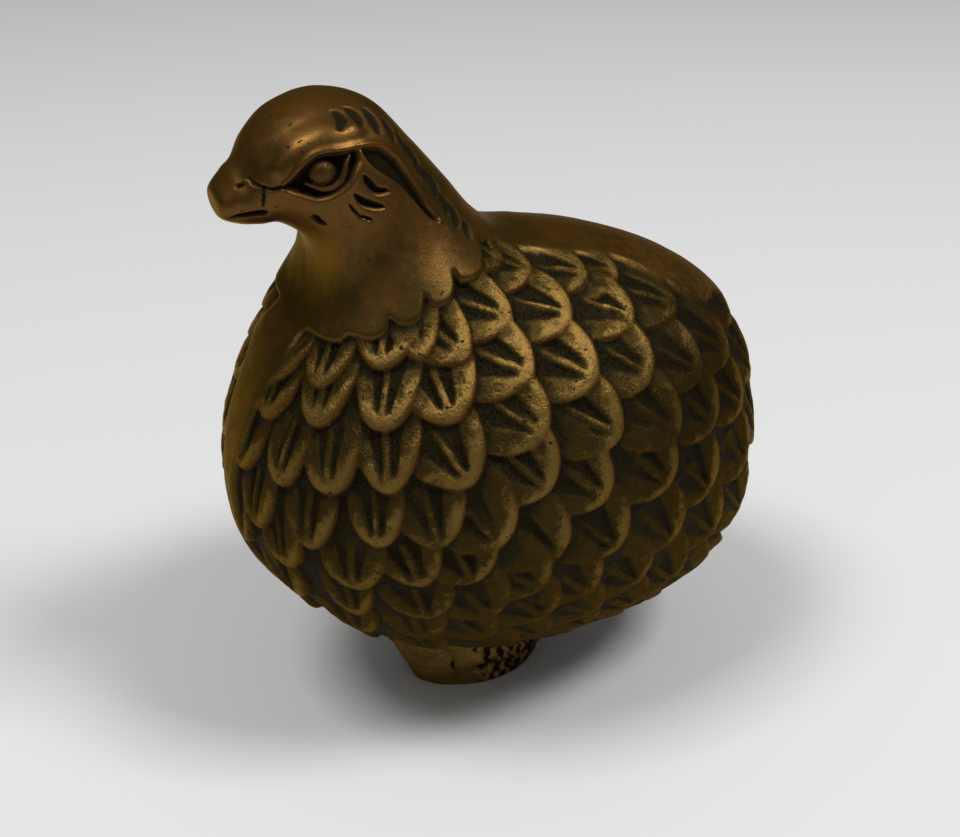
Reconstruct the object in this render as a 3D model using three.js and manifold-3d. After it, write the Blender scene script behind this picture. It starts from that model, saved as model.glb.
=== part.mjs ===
import * as THREE from 'three';
import { mergeVertices } from 'three/addons/utils/BufferGeometryUtils.js';
import Module from 'manifold-3d';

const wasm = await Module();
wasm.setup();

// Cast brass bird. Millimetres, +Z up. The bird looks along -Y and its left side is +X.
// The body is two hollow half castings brazed along the middle plane, on two separate feet.

// Overall size
const LENGTH = 90.4;              // breast to rump
const WIDTH = 68;                 // across the wings
const HEIGHT = 101.7;             // table to crown

// Metal thickness, relief and fits
const WALL = 2.6;                 // metal behind the ground between the feathers
const FEATHER_RELIEF = 1.5;       // from the ground between the feathers up to the outer skin
const CAVITY_DEPTH = FEATHER_RELIEF + WALL;
const SMOOTH_DEPTH = FEATHER_RELIEF + WALL / 2;
const FIT_GAP = 0.3;              // between a piece and the neighbour it is fitted to

// Outline of the bird: one ring of skin per station, from the beak tip to the end of the rump.
// top and bottom are [forward of the origin, height] in the middle plane, as shares of the
// length and height. width is a share of the width. widest is how far up the ring, from bottom
// to top, its widest level lies.
const STATIONS = [
  { name: 'beak tip', top: [0.479, 0.860], bottom: [0.479, 0.860], width: 0, widest: 0.5 },
  { name: 'beak front', top: [0.479, 0.880], bottom: [0.473, 0.841], width: 0.118, widest: 0.5 },
  { name: 'beak middle', top: [0.457, 0.905], bottom: [0.446, 0.826], width: 0.171, widest: 0.5 },
  { name: 'beak base', top: [0.440, 0.919], bottom: [0.413, 0.821], width: 0.206, widest: 0.5 },
  { name: 'forehead', top: [0.418, 0.949], bottom: [0.385, 0.822], width: 0.265, widest: 0.5 },
  { name: 'crown front', top: [0.374, 0.983], bottom: [0.347, 0.802], width: 0.329, widest: 0.55 },
  { name: 'crown', top: [0.302, 1.000], bottom: [0.330, 0.767], width: 0.376, widest: 0.58 },
  { name: 'crown back', top: [0.225, 0.980], bottom: [0.341, 0.728], width: 0.397, widest: 0.56 },
  { name: 'upper nape', top: [0.164, 0.924], bottom: [0.368, 0.688], width: 0.426, widest: 0.52 },
  { name: 'nape', top: [0.108, 0.865], bottom: [0.413, 0.649], width: 0.500, widest: 0.5 },
  { name: 'lower nape', top: [0.059, 0.811], bottom: [0.451, 0.590], width: 0.632, widest: 0.5 },
  { name: 'shoulder', top: [0.003, 0.777], bottom: [0.485, 0.516], width: 0.765, widest: 0.5 },
  { name: 'front back', top: [-0.085, 0.762], bottom: [0.501, 0.423], width: 0.882, widest: 0.5 },
  { name: 'middle back', top: [-0.201, 0.737], bottom: [0.479, 0.320], width: 0.971, widest: 0.5 },
  { name: 'rear back', top: [-0.329, 0.688], bottom: [0.402, 0.216], width: 1.000, widest: 0.5 },
  { name: 'rump top', top: [-0.423, 0.619], bottom: [0.285, 0.128], width: 0.956, widest: 0.5 },
  { name: 'rump', top: [-0.478, 0.511], bottom: [0.131, 0.079], width: 0.838, widest: 0.5 },
  { name: 'tail top', top: [-0.506, 0.388], bottom: [-0.074, 0.074], width: 0.676, widest: 0.5 },
  { name: 'tail', top: [-0.511, 0.290], bottom: [-0.262, 0.113], width: 0.456, widest: 0.5 },
  { name: 'tail low', top: [-0.494, 0.226], bottom: [-0.412, 0.167], width: 0.235, widest: 0.5 },
  { name: 'end', top: [-0.467, 0.192], bottom: [-0.467, 0.192], width: 0, widest: 0.5 },
];
const LAST_RING = STATIONS.length - 1;
const BODY_CENTRE = new THREE.Vector3(0, 0.013 * LENGTH, 0.413 * HEIGHT);
const BEYOND = LENGTH + WIDTH + HEIGHT;   // farther than any part of the bird

// Rings along each surface and points round each ring
const SKIN_FINENESS = [34, 24];
const GROUND_FINENESS = [16, 20];
const CAVITY_FINENESS = [14, 20];
const BELLY_FINENESS = [24, 32];
const GROUND_RINGS = [4, LAST_RING - 1];
const BELLY_RINGS = [8, LAST_RING];
const CAVITY_RINGS = [5.3, 18.3]; // from behind the solid beak to above the tail
const RING_GAP = 0.06;            // rings between two nested ends that stay clear by the fit gap

// The smooth parts: the hood above its collar and the two strips dressed over the seam.
// Places are shares of the length or height, and half widths are shares of the strip's width.
const COLLAR = { front: [0.402, 0.676], back: [0.042, 0.815] };
const BACK_STRIP = {
  width: 28,
  outline: [[0.042, 0.32], [-0.124, 0.34], [-0.201, 0.4], [-0.257, 0.5], [-0.323, 0.48], [-0.4, 0.21],
    [-0.489, 0.1]],
};
const BREAST_STRIP = {
  width: 14,
  outline: [[0.708, 0.5], [0.629, 0.46], [0.541, 0.32], [0.442, 0.18], [0.295, 0.13], [0.157, 0.13]],
};

// Feathers. Each row gives the height angle of its tips, seen from the body centre, at the
// breast, the wing edge, the flank and the rump, and the turn of each tip from straight ahead.
const ROW_KNOTS = [10, 57, 95, 140];
const FEATHER_ROWS = [
  { angles: [70, 69, 68, 60], turns: [66, 84, 114, 132] },
  { angles: [58, 55, 53.5, 45], turns: [69, 91, 117, 140, 160] },
  { angles: [28, 42, 38, 27], turns: [8, 23, 35, 44, 56, 73, 94, 113, 131, 147, 162, 176] },
  { angles: [19.5, 31, 24, 13], turns: [11, 25, 38, 53, 76, 97, 115, 131, 146, 160, 174] },
  { angles: [9, 17, 10, -4], turns: [7, 19, 31, 43, 59, 75, 92, 112, 130, 147, 161, 175] },
  { angles: [-1, 3, -9, -19], turns: [11, 26, 39, 52, 65, 80, 98, 118, 136, 152, 167] },
  { angles: [-9, -9, -24, -34], turns: [4, 19, 33, 47, 60, 75, 92, 110, 128, 145, 160, 175] },
  { angles: [-20, -22, -36, -47], turns: [14, 30, 47, 62, 78, 97, 117, 137, 156, 174] },
  { angles: [-32, -35, -48, -58], turns: [5, 24, 42, 60, 80, 102, 126, 150, 172] },
  { angles: [-45, -47, -59, -67], turns: [15, 40, 68, 98, 130, 162] },
];
const BREAST_FEATHER = { length: 13, width: 9, slant: 4 };
const WING_FEATHER = { length: 13, width: 11, slant: 48 };
const BREAST_ENDS = 35;           // turn where the breast feathers start to change
const WING_STARTS = 75;           // turn where they have become wing feathers
const FEATHER_TOP = 0.1;          // feather midribs lie this far below the smooth skin
const FEATHER_ROOT = 0.3;         // roots are sunk this far below the ground
// Rows of the outline as [share of the length, share of the width], then the cross section, a
// midrib between two grooves that lie inside the rims, and the tip
const FEATHER_FORM = {
  rows: [[0.28, 0.9], [0.78, 1]],
  across: [-1, -0.5, 0, 0.5, 1],
  drops: [0.4, 0.9, 0, 0.9, 0.4],
  tipRow: [0.93, 0.56],
  tipDrop: 0.35,
};
// The collar ends in round scallops: turn, height angle and slant of each lowest point
const COLLAR_SCALLOPS = [
  [8, 36.5, 0], [20, 37.5, 5], [31, 40.5, 15], [40, 46, 25], [47, 51.5, 35], [52.5, 59, 45],
  [56, 68, 60],
];
const SCALLOP_RADIUS = 4;

// Marks on the head. Each point is [ring, angle]: ring 0 is the beak tip and whole numbers are
// the stations. The angle runs round the ring from 0 on top to 180 at the bottom.
const EYE = { socket: [[4.15, 82], [6.35, 62]], ball: [5.42, 77], height: 7.6, depth: 1.9, radius: 2.3 };
const BROW = [
  [3.98, 78], [4.3, 77], [4.88, 70], [5.45, 62], [6.05, 59], [6.78, 51], [7.5, 48], [8.15, 46],
  [8.9, 43],
];
const BROW_RADII = [0.4, 0.8, 1.0, 1.0, 0.9, 0.9, 0.8, 0.7, 0.3];
const OUTER_LID = [[4.25, 89], [5.1, 102], [5.85, 97], [6.25, 80], [6.42, 65]];
const INNER_LID = [[4.72, 91], [5.58, 92], [6.0, 80], [6.15, 67]];
const LID_RADIUS = 0.5;
const RIDGE_SINK = 0.6;           // share of its radius that a ridge's middle lies below the skin
const EYEBALL_SINK = 0.75;
const HOLLOW = [[6.45, 61], [7.08, 59], [7.72, 56], [8.4, 52], [8.88, 49]];
const HOLLOW_RADII = [0.5, 2.0, 1.8, 1.2, 0.4];
const HOLLOW_DEPTH = 0.9;
const NAPE_DASHES = [
  [5.98, 33, 6.05, 46], [6.3, 27, 6.53, 41], [6.74, 25, 7.0, 38], [7.28, 18, 7.42, 34],
  [7.58, 24, 7.78, 35], [7.9, 20, 8.07, 34], [8.15, 25, 8.3, 35], [8.38, 26, 8.6, 34],
  [8.68, 27, 8.93, 38], [8.97, 26, 9.25, 37], [9.45, 27, 9.78, 34],
];
const CHEEK_SLITS = [
  [6.58, 77, 7.3, 72], [6.4, 92, 7.28, 81], [6.2, 99, 6.58, 100], [6.85, 97, 7.12, 93],
  [5.05, 116, 5.33, 122],
];
const NOSTRIL = [2.15, 52, 2.5, 48];
const MOUTH = [1.38, 114, 3.15, 105];
const BEAK_CREASES = [[3.12, 40, 3.48, 60], [3.5, 72, 3.2, 90]];
const DASH_CUT = { width: 1.5, depth: 0.7 };
const SLIT_CUT = { width: 1.1, depth: 0.9 };
const CREASE_CUT = { width: 0.8, depth: 0.5 };
const CUT_OVERRUN = 1.1;          // cuts are this much longer than the marks they join

// Left foot. The sole's outline is [share of the width from its inner edge, share of the length
// from its heel]. The foot flares by flare up to the belly.
const FOOT = { length: 25, width: 8, apart: 3.2, forward: 5.7, edge: 0.7, flare: 1.2 };
const SOLE = [
  [0, 1], [0.35, 0.97], [0.66, 0.86], [0.875, 0.71], [1, 0.52], [0.925, 0.32], [0.7, 0.15],
  [0.375, 0.04], [0, 0],
];
const SOLE_SCALE = 0.95;          // the sole's worn lower edge, against the outline above it
const FOOT_CENTRE = new THREE.Vector2((FOOT.apart + FOOT.width) / 2, -FOOT.forward);
const SEAT_MARGIN = 3;            // smooth belly round the foot
// Grooves between the toes and over the hind toe, as places on the outline
const TOE_GROOVES = [[0.28, 0.98], [0.66, 0.86], [0.96, 0.4]];
const TOE_GROOVE = { width: 1.4, depth: 1.1, height: 7.5 };
const PEG = { radius: 2.2, root: 4, proud: 2.4 };
const FOOT_BRAZE = { radius: 3.8, thickness: 1.5 };

// The run of alloy along the inside of the seam
const SEAM_BRAZE = { width: 3, thickness: 1.5 };

// A value between the stations, on a smooth curve through them
function between(values, ring) {
  const last = values.length - 1;
  const i = Math.min(Math.max(Math.floor(ring), 0), last - 1);
  const u = ring - i;
  const b = values[i];
  const c = values[i + 1];
  const a = i > 0 ? values[i - 1] : 2 * b - c;
  const d = i + 2 <= last ? values[i + 2] : 2 * c - b;
  const square = 2 * a - 5 * b + 4 * c - d;
  const cube = 3 * b - a - 3 * c + d;
  return 0.5 * (2 * b + (c - a) * u + square * u * u + cube * u ** 3);
}

const COLUMNS = {
  topForward: STATIONS.map((s) => s.top[0] * LENGTH),
  topHeight: STATIONS.map((s) => s.top[1] * HEIGHT),
  bottomForward: STATIONS.map((s) => s.bottom[0] * LENGTH),
  bottomHeight: STATIONS.map((s) => s.bottom[1] * HEIGHT),
  halfWidth: STATIONS.map((s) => s.width * WIDTH / 2),
  widest: STATIONS.map((s) => s.widest),
};

function middlePoint(ring, end) {
  return new THREE.Vector2(between(COLUMNS[end + 'Forward'], ring), between(COLUMNS[end + 'Height'], ring));
}

// The ring of skin, or of a surface lying inset millimetres inside it
function ringAt(ring, inset = 0) {
  const points = {};
  for (const [end, side] of [['top', 1], ['bottom', -1]]) {
    const point = middlePoint(ring, end);
    const step = 0.02;
    const before = middlePoint(Math.max(ring - step, 0), end);
    const after = middlePoint(Math.min(ring + step, LAST_RING), end);
    const run = after.sub(before).normalize();
    points[end] = point.addScaledVector(new THREE.Vector2(run.y, -run.x), -inset * side);
  }
  return {
    top: points.top,
    bottom: points.bottom,
    halfWidth: Math.max(between(COLUMNS.halfWidth, ring), 0) - inset,
    middle: points.bottom.clone().lerp(points.top, between(COLUMNS.widest, ring)),
  };
}

function pointOnRing(section, degrees) {
  const angle = THREE.MathUtils.degToRad(degrees);
  const up = Math.cos(angle);
  const towards = up >= 0 ? section.top : section.bottom;
  const flat = section.middle.clone().lerp(towards, Math.abs(up));
  return new THREE.Vector3(section.halfWidth * Math.sin(angle), -flat.x, flat.y);
}

function skinPoint(ring, degrees) {
  return pointOnRing(ringAt(ring), degrees);
}

// Negative inside the skin and positive outside it
function outsideness(point) {
  const flat = new THREE.Vector2(-point.y, point.z);
  let low = 0.05;
  let high = LAST_RING - 0.05;
  for (let i = 0; i < 30; i += 1) {
    const ring = (low + high) / 2;
    const bottom = middlePoint(ring, 'bottom');
    const upRing = middlePoint(ring, 'top').sub(bottom);
    const isBehindRing = upRing.cross(flat.clone().sub(bottom)) > 0;
    if (isBehindRing) {
      low = ring;
    } else {
      high = ring;
    }
  }
  const section = ringAt(low);
  const fromMiddle = flat.sub(section.middle);
  const upwards = section.top.clone().sub(section.bottom);
  const end = fromMiddle.dot(upwards) >= 0 ? section.top : section.bottom;
  const along = fromMiddle.length() / end.distanceTo(section.middle);
  return (point.x / section.halfWidth) ** 2 + along ** 2 - 1;
}

// The skin point met first when going out from a point inside
function outwards(from, direction) {
  const stride = 1;
  const point = from.clone();
  while (outsideness(point) < 0) {
    point.addScaledVector(direction, stride);
  }
  let step = -stride / 2;
  for (let i = 0; i < 16; i += 1) {
    point.addScaledVector(direction, step);
    step = (outsideness(point) < 0 ? 1 : -1) * Math.abs(step) / 2;
  }
  return point;
}

function outwardNormal(point) {
  const reach = 0.05;
  const slope = (axis) => {
    const shift = new THREE.Vector3().setComponent(axis, reach);
    return outsideness(point.clone().add(shift)) - outsideness(point.clone().sub(shift));
  };
  return new THREE.Vector3(slope(0), slope(1), slope(2)).normalize();
}

// Closed solids from and to plain geometry
function toSolid(geometry) {
  const bare = geometry.clone();
  bare.deleteAttribute('normal');
  bare.deleteAttribute('uv');
  const merged = mergeVertices(bare, 1e-5);
  const vertProperties = new Float32Array(merged.attributes.position.array);
  const triVerts = new Uint32Array(merged.index.array);
  return new wasm.Manifold(new wasm.Mesh({ numProp: 3, vertProperties, triVerts }));
}

function fromLists(points, triangles) {
  const geometry = new THREE.BufferGeometry();
  const flat = points.flatMap((p) => [p.x, p.y, p.z]);
  geometry.setAttribute('position', new THREE.Float32BufferAttribute(flat, 3));
  geometry.setIndex(triangles.flat());
  return geometry;
}

function toGeometry(solid) {
  const mesh = solid.getMesh();
  const geometry = new THREE.BufferGeometry();
  geometry.setAttribute('position', new THREE.BufferAttribute(new Float32Array(mesh.vertProperties), 3));
  geometry.setIndex(new THREE.BufferAttribute(new Uint32Array(mesh.triVerts), 1));
  return geometry;
}

// The largest connected surface of a solid, which fills any small void sealed between feathers
function withoutVoids(geometry) {
  const index = geometry.index.array;
  const owner = Array.from({ length: geometry.attributes.position.count }, (_, i) => i);
  const find = (i) => {
    let top = i;
    while (owner[top] !== top) {
      owner[top] = owner[owner[top]];
      top = owner[top];
    }
    return top;
  };
  for (let i = 0; i < index.length; i += 3) {
    owner[find(index[i + 1])] = find(index[i]);
    owner[find(index[i + 2])] = find(index[i]);
  }
  const counts = new Map();
  for (let i = 0; i < index.length; i += 3) {
    const group = find(index[i]);
    counts.set(group, (counts.get(group) ?? 0) + 1);
  }
  const largest = [...counts].sort((a, b) => b[1] - a[1])[0][0];
  const kept = [];
  for (let i = 0; i < index.length; i += 3) {
    if (find(index[i]) === largest) {
      kept.push(index[i], index[i + 1], index[i + 2]);
    }
  }
  geometry.setIndex(kept);
  return geometry;
}

function joined(solids) {
  let layer = solids;
  while (layer.length > 1) {
    const next = [];
    for (let i = 0; i < layer.length; i += 2) {
      next.push(i + 1 < layer.length ? layer[i].add(layer[i + 1]) : layer[i]);
    }
    layer = next;
  }
  return layer[0];
}

// The same geometry on the other side of the middle plane
function mirrored(geometry) {
  const copy = geometry.clone();
  const position = copy.attributes.position;
  for (let i = 0; i < position.count; i += 1) {
    position.setX(i, -position.getX(i));
  }
  const index = copy.index.array;
  for (let i = 0; i < index.length; i += 3) {
    [index[i + 1], index[i + 2]] = [index[i + 2], index[i + 1]];
  }
  return copy;
}

// Walls between rings of equal length, closed to a pole point at each end
function closedRings(rings, firstPole, lastPole) {
  const sides = rings[0].length;
  const points = [firstPole, ...rings.flat(), lastPole];
  const lastIndex = points.length - 1;
  const triangles = [];
  for (let j = 0; j < sides; j += 1) {
    const k = (j + 1) % sides;
    triangles.push([0, 1 + k, 1 + j]);
    for (let i = 0; i < rings.length - 1; i += 1) {
      const here = 1 + i * sides;
      const there = here + sides;
      triangles.push([here + j, here + k, there + j]);
      triangles.push([here + k, there + k, there + j]);
    }
    const end = 1 + (rings.length - 1) * sides;
    triangles.push([lastIndex, end + j, end + k]);
  }
  return fromLists(points, triangles);
}

// The whole body between two rings, as a surface lying inset millimetres inside the skin
function bodySolid(inset, [from, to], [ringCount, sides]) {
  const rings = [];
  for (let i = 1; i < ringCount; i += 1) {
    const section = ringAt(from + (to - from) * i / ringCount, inset);
    rings.push(Array.from({ length: sides }, (_, j) => pointOnRing(section, 360 * j / sides)));
  }
  const poles = [from, to].map((ring) => {
    const section = ringAt(ring, inset);
    return new THREE.Vector3(0, -section.middle.x, section.middle.y);
  });
  return toSolid(closedRings(rings, poles[0], poles[1]));
}

function box(low, high) {
  const size = high.map((value, i) => value - low[i]);
  const geometry = new THREE.BoxGeometry(...size);
  geometry.translate(...high.map((value, i) => (value + low[i]) / 2));
  return toSolid(geometry);
}

// An upright cylinder over the middle of the left foot
function footCylinder(radius, bottom, top) {
  const geometry = new THREE.CylinderGeometry(radius, radius, top - bottom, 24);
  geometry.rotateX(Math.PI / 2);
  geometry.translate(FOOT_CENTRE.x, FOOT_CENTRE.y, (top + bottom) / 2);
  return toSolid(geometry);
}

// A straight prism over a strip outline of [along, half width] points
function stripCutter(points, place) {
  const rightSide = points.map(([along, half]) => new THREE.Vector2(half, along));
  const leftSide = points.map(([along, half]) => new THREE.Vector2(-half, along)).reverse();
  const shape = new THREE.Shape([...rightSide, ...leftSide]);
  const geometry = new THREE.ExtrudeGeometry(shape, { depth: BEYOND, bevelEnabled: false });
  place(geometry);
  return toSolid(geometry);
}

function backStrip() {
  const { width, outline } = BACK_STRIP;
  const points = outline.map(([forward, half]) => [-forward * LENGTH, half * width]);
  return stripCutter(points, (geometry) => geometry.translate(0, 0, BODY_CENTRE.z));
}

function breastStrip() {
  const { width, outline } = BREAST_STRIP;
  const points = outline.map(([height, half]) => [height * HEIGHT, half * width]);
  return stripCutter(points, (geometry) => geometry.rotateX(Math.PI / 2));
}

function scallopCutter([turn, heightAngle, slant]) {
  const { tip, normal, down } = tipFrame(turn, heightAngle, slant);
  const centre = tip.addScaledVector(down, -SCALLOP_RADIUS);
  const depth = 2 * CAVITY_DEPTH;
  const geometry = new THREE.CylinderGeometry(SCALLOP_RADIUS, SCALLOP_RADIUS, 2 * depth, 16);
  geometry.applyMatrix4(new THREE.Matrix4().makeBasis(normal.clone().cross(down), normal, down));
  geometry.translate(centre.x, centre.y, centre.z);
  return toSolid(geometry);
}

// Everything above the sloping plane of the collar
function hoodCutter() {
  const [front, back] = [COLLAR.front, COLLAR.back].map(([forward, height]) => (
    new THREE.Vector2(-forward * LENGTH, height * HEIGHT)
  ));
  const geometry = new THREE.BoxGeometry(BEYOND, 2 * BEYOND, BEYOND);
  geometry.translate(0, 0, BEYOND / 2);
  geometry.rotateX(back.clone().sub(front).angle());
  geometry.translate(0, front.x, front.y);
  return toSolid(geometry);
}

// The belly above the feet
function seatCutter() {
  const x = FOOT.apart / 2 + FOOT.width + SEAT_MARGIN;
  const y = FOOT.length / 2 + SEAT_MARGIN;
  return box([-x, FOOT_CENTRE.y - y, 0], [x, FOOT_CENTRE.y + y, BODY_CENTRE.z / 2]);
}

// Everything that stays at full height: hood, seam strips and the seats of the feet
function smoothParts(skin) {
  const scallops = COLLAR_SCALLOPS.map(scallopCutter);
  return skin.intersect(joined([hoodCutter(), backStrip(), breastStrip(), seatCutter(), ...scallops]));
}

function smoothStep(from, to, value) {
  return THREE.MathUtils.smoothstep(value, from, to);
}

function rowAngle(angles, turn) {
  const last = ROW_KNOTS.length - 1;
  if (turn <= ROW_KNOTS[0]) {
    return angles[0];
  }
  if (turn >= ROW_KNOTS[last]) {
    return angles[last];
  }
  const i = ROW_KNOTS.findIndex((knot) => knot > turn) - 1;
  const u = smoothStep(ROW_KNOTS[i], ROW_KNOTS[i + 1], turn);
  return THREE.MathUtils.lerp(angles[i], angles[i + 1], u);
}

function featherSize(turn) {
  const u = smoothStep(BREAST_ENDS, WING_STARTS, turn);
  const mix = (key) => THREE.MathUtils.lerp(BREAST_FEATHER[key], WING_FEATHER[key], u);
  return { length: mix('length'), width: mix('width'), slant: mix('slant') };
}

// Where a tip lies on the skin, seen from the body centre, and the way it points
function tipFrame(turn, heightAngle, slantDegrees) {
  const yaw = THREE.MathUtils.degToRad(turn);
  const pitch = THREE.MathUtils.degToRad(heightAngle);
  const flat = Math.cos(pitch);
  const ray = new THREE.Vector3(flat * Math.sin(yaw), -flat * Math.cos(yaw), Math.sin(pitch));
  const tip = outwards(BODY_CENTRE, ray);
  const normal = outwardNormal(tip);
  const slant = THREE.MathUtils.degToRad(slantDegrees);
  const down = new THREE.Vector3(0, Math.sin(slant), -Math.cos(slant)).projectOnPlane(normal).normalize();
  return { tip, normal, down };
}

// One feather: a low plate whose root is sunk in the ground and whose tip stands at the skin
function plate(turn, heightAngle, size, form) {
  const { tip, normal, down } = tipFrame(turn, heightAngle, size.slant);
  const across = normal.clone().cross(down);
  const sink = FEATHER_RELIEF + FEATHER_ROOT - FEATHER_TOP;
  const inside = 0.7 * size.length;
  const firstRow = form.rows[0][0];
  const lastRow = form.rows[form.rows.length - 1][0];
  const tops = [];
  const bases = [];
  const addPoint = (along, side, drop) => {
    const start = tip.clone().addScaledVector(down, (along - 1) * size.length);
    start.addScaledVector(across, side * size.width / 2).addScaledVector(normal, -inside);
    const onSkin = outwards(start, normal);
    const out = outwardNormal(onSkin);
    const slope = Math.max((lastRow - along) / (lastRow - firstRow), 0);
    const height = -FEATHER_TOP - sink * slope - drop;
    tops.push(onSkin.clone().addScaledVector(out, height));
    bases.push(onSkin.clone().addScaledVector(out, -SMOOTH_DEPTH));
  };
  for (const [along, width] of form.rows) {
    form.across.forEach((side, i) => addPoint(along, side * width, form.drops[i]));
  }
  const [tipAlong, tipWidth] = form.tipRow;
  addPoint(tipAlong, -tipWidth, form.tipDrop);
  addPoint(1, 0, form.tipDrop);
  addPoint(tipAlong, tipWidth, form.tipDrop);
  return toSolid(plateGeometry(tops, bases, form));
}

function plateGeometry(tops, bases, form) {
  const columns = form.across.length;
  const rows = form.rows.length;
  const middle = (columns - 1) / 2;
  const lastRow = (rows - 1) * columns;
  const [left, point, right] = [0, 1, 2].map((i) => rows * columns + i);
  const triangles = [];
  for (let i = 0; i < rows - 1; i += 1) {
    for (let j = 0; j < columns - 1; j += 1) {
      const a = i * columns + j;
      const b = a + columns;
      triangles.push([a, b, a + 1], [a + 1, b, b + 1]);
    }
  }
  const turning = Math.floor(middle / 2) + 1;
  for (let j = 0; j < columns - 1; j += 1) {
    const nearer = j < turning ? left : (j >= columns - 1 - turning ? right : point);
    triangles.push([lastRow + j, nearer, lastRow + j + 1]);
  }
  triangles.push([left, point, lastRow + turning]);
  triangles.push([lastRow + columns - 1 - turning, point, right]);
  const rim = [];
  for (let j = 0; j < columns; j += 1) {
    rim.push(j);
  }
  for (let i = 1; i < rows; i += 1) {
    rim.push(i * columns + columns - 1);
  }
  rim.push(right, point, left);
  for (let i = rows - 1; i > 0; i -= 1) {
    rim.push(i * columns);
  }
  const points = [...tops];
  const baseStart = points.length;
  rim.forEach((i) => points.push(bases[i]));
  const centre = bases[columns + middle];
  points.push(centre);
  rim.forEach((top, i) => {
    const k = (i + 1) % rim.length;
    triangles.push([top, rim[k], baseStart + i]);
    triangles.push([rim[k], baseStart + k, baseStart + i]);
    triangles.push([points.length - 1, baseStart + i, baseStart + k]);
  });
  return fromLists(points, triangles);
}

function feathers() {
  const plates = [];
  for (const row of FEATHER_ROWS) {
    for (const turn of row.turns) {
      plates.push(plate(turn, rowAngle(row.angles, turn), featherSize(turn), FEATHER_FORM));
    }
  }
  return plates;
}

// A pointed body lying along the skin between two marks
function spindle([ringA, angleA, ringB, angleB], cut) {
  const start = skinPoint(ringA, angleA);
  const end = skinPoint(ringB, angleB);
  const middle = start.clone().lerp(end, 0.5);
  const along = end.clone().sub(start);
  const normal = outwardNormal(middle);
  const across = normal.clone().cross(along).normalize();
  const geometry = new THREE.OctahedronGeometry(1);
  geometry.scale(CUT_OVERRUN * along.length() / 2, cut.width / 2, cut.depth);
  const frame = new THREE.Matrix4().makeBasis(along.normalize(), across, normal);
  geometry.applyMatrix4(frame);
  geometry.translate(middle.x, middle.y, middle.z);
  return toSolid(geometry);
}

// A round cord laid along marks on the skin, lifted out of it by lift
function cord(marks, radii, lift, sides = 6) {
  const centres = marks.map(([ring, angle], i) => {
    const point = skinPoint(ring, angle);
    return point.addScaledVector(outwardNormal(point), lift(radii[i]));
  });
  const rings = centres.map((centre, i) => {
    const before = centres[Math.max(i - 1, 0)];
    const after = centres[Math.min(i + 1, centres.length - 1)];
    const along = after.clone().sub(before).normalize();
    const normal = outwardNormal(centre).projectOnPlane(along).normalize();
    const across = along.clone().cross(normal);
    return Array.from({ length: sides }, (_, j) => {
      const angle = 2 * Math.PI * j / sides;
      const out = normal.clone().multiplyScalar(Math.cos(angle) * radii[i]);
      return out.addScaledVector(across, Math.sin(angle) * radii[i]).add(centre);
    });
  });
  return toSolid(closedRings(rings, centres[0], centres[centres.length - 1]));
}

function ellipsoid(centre, along, normal, sizes) {
  const across = normal.clone().cross(along).normalize();
  const geometry = new THREE.SphereGeometry(1, 14, 8);
  geometry.scale(...sizes);
  geometry.applyMatrix4(new THREE.Matrix4().makeBasis(along, across, normal));
  geometry.translate(centre.x, centre.y, centre.z);
  return toSolid(geometry);
}

function eyeSocket() {
  const [front, back] = EYE.socket.map(([ring, angle]) => skinPoint(ring, angle));
  const centre = front.clone().lerp(back, 0.5);
  const reach = front.distanceTo(back) / 2;
  const normal = outwardNormal(centre);
  const along = back.sub(front).projectOnPlane(normal).normalize();
  return ellipsoid(centre, along, normal, [reach, EYE.height / 2, EYE.depth]);
}

function eyeball() {
  const point = skinPoint(...EYE.ball);
  const normal = outwardNormal(point);
  const along = new THREE.Vector3(0, 1, 0).projectOnPlane(normal).normalize();
  const centre = point.addScaledVector(normal, -EYE.radius * EYEBALL_SINK);
  return ellipsoid(centre, along, normal, [EYE.radius, EYE.radius, EYE.radius]);
}

function headCuts() {
  return joined([
    eyeSocket(),
    cord(HOLLOW, HOLLOW_RADII, (radius) => radius - HOLLOW_DEPTH),
    ...NAPE_DASHES.map((dash) => spindle(dash, DASH_CUT)),
    ...[...CHEEK_SLITS, NOSTRIL, MOUTH].map((slit) => spindle(slit, SLIT_CUT)),
    ...BEAK_CREASES.map((crease) => spindle(crease, CREASE_CUT)),
  ]);
}

function headRidges() {
  const ridge = (marks, radii) => cord(marks, radii, (radius) => -radius * RIDGE_SINK);
  const lids = [OUTER_LID, INNER_LID].map((marks) => ridge(marks, marks.map(() => LID_RADIUS)));
  return joined([ridge(BROW, BROW_RADII), ...lids, eyeball()]);
}

// The left half casting; the right one is its mirror image
function leftShell() {
  const skin = bodySolid(0, [0, LAST_RING], SKIN_FINENESS);
  const ground = bodySolid(FEATHER_RELIEF, GROUND_RINGS, GROUND_FINENESS);
  const cavity = bodySolid(CAVITY_DEPTH, CAVITY_RINGS, CAVITY_FINENESS);
  const hood = smoothParts(skin).subtract(headCuts());
  const outer = joined([ground, ...feathers(), hood, headRidges()]);
  const leftHalf = box([0, -BEYOND, 0], [BEYOND, BEYOND, BEYOND]);
  const pegHole = footCylinder(PEG.radius + FIT_GAP, 0, BODY_CENTRE.z / 2);
  return outer.intersect(leftHalf).subtract(cavity).subtract(pegHole);
}

function seamBraze() {
  const outerInset = CAVITY_DEPTH + FIT_GAP;
  const innerInset = outerInset + SEAM_BRAZE.thickness;
  const shortened = (rings) => [CAVITY_RINGS[0] + rings, CAVITY_RINGS[1] - rings];
  const outer = bodySolid(outerInset, shortened(RING_GAP), CAVITY_FINENESS);
  const inner = bodySolid(innerInset, shortened(5 * RING_GAP), CAVITY_FINENESS);
  const half = SEAM_BRAZE.width / 2;
  const slab = box([-half, -BEYOND, 0], [half, BEYOND, BEYOND]);
  return outer.subtract(inner).intersect(slab);
}

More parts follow.
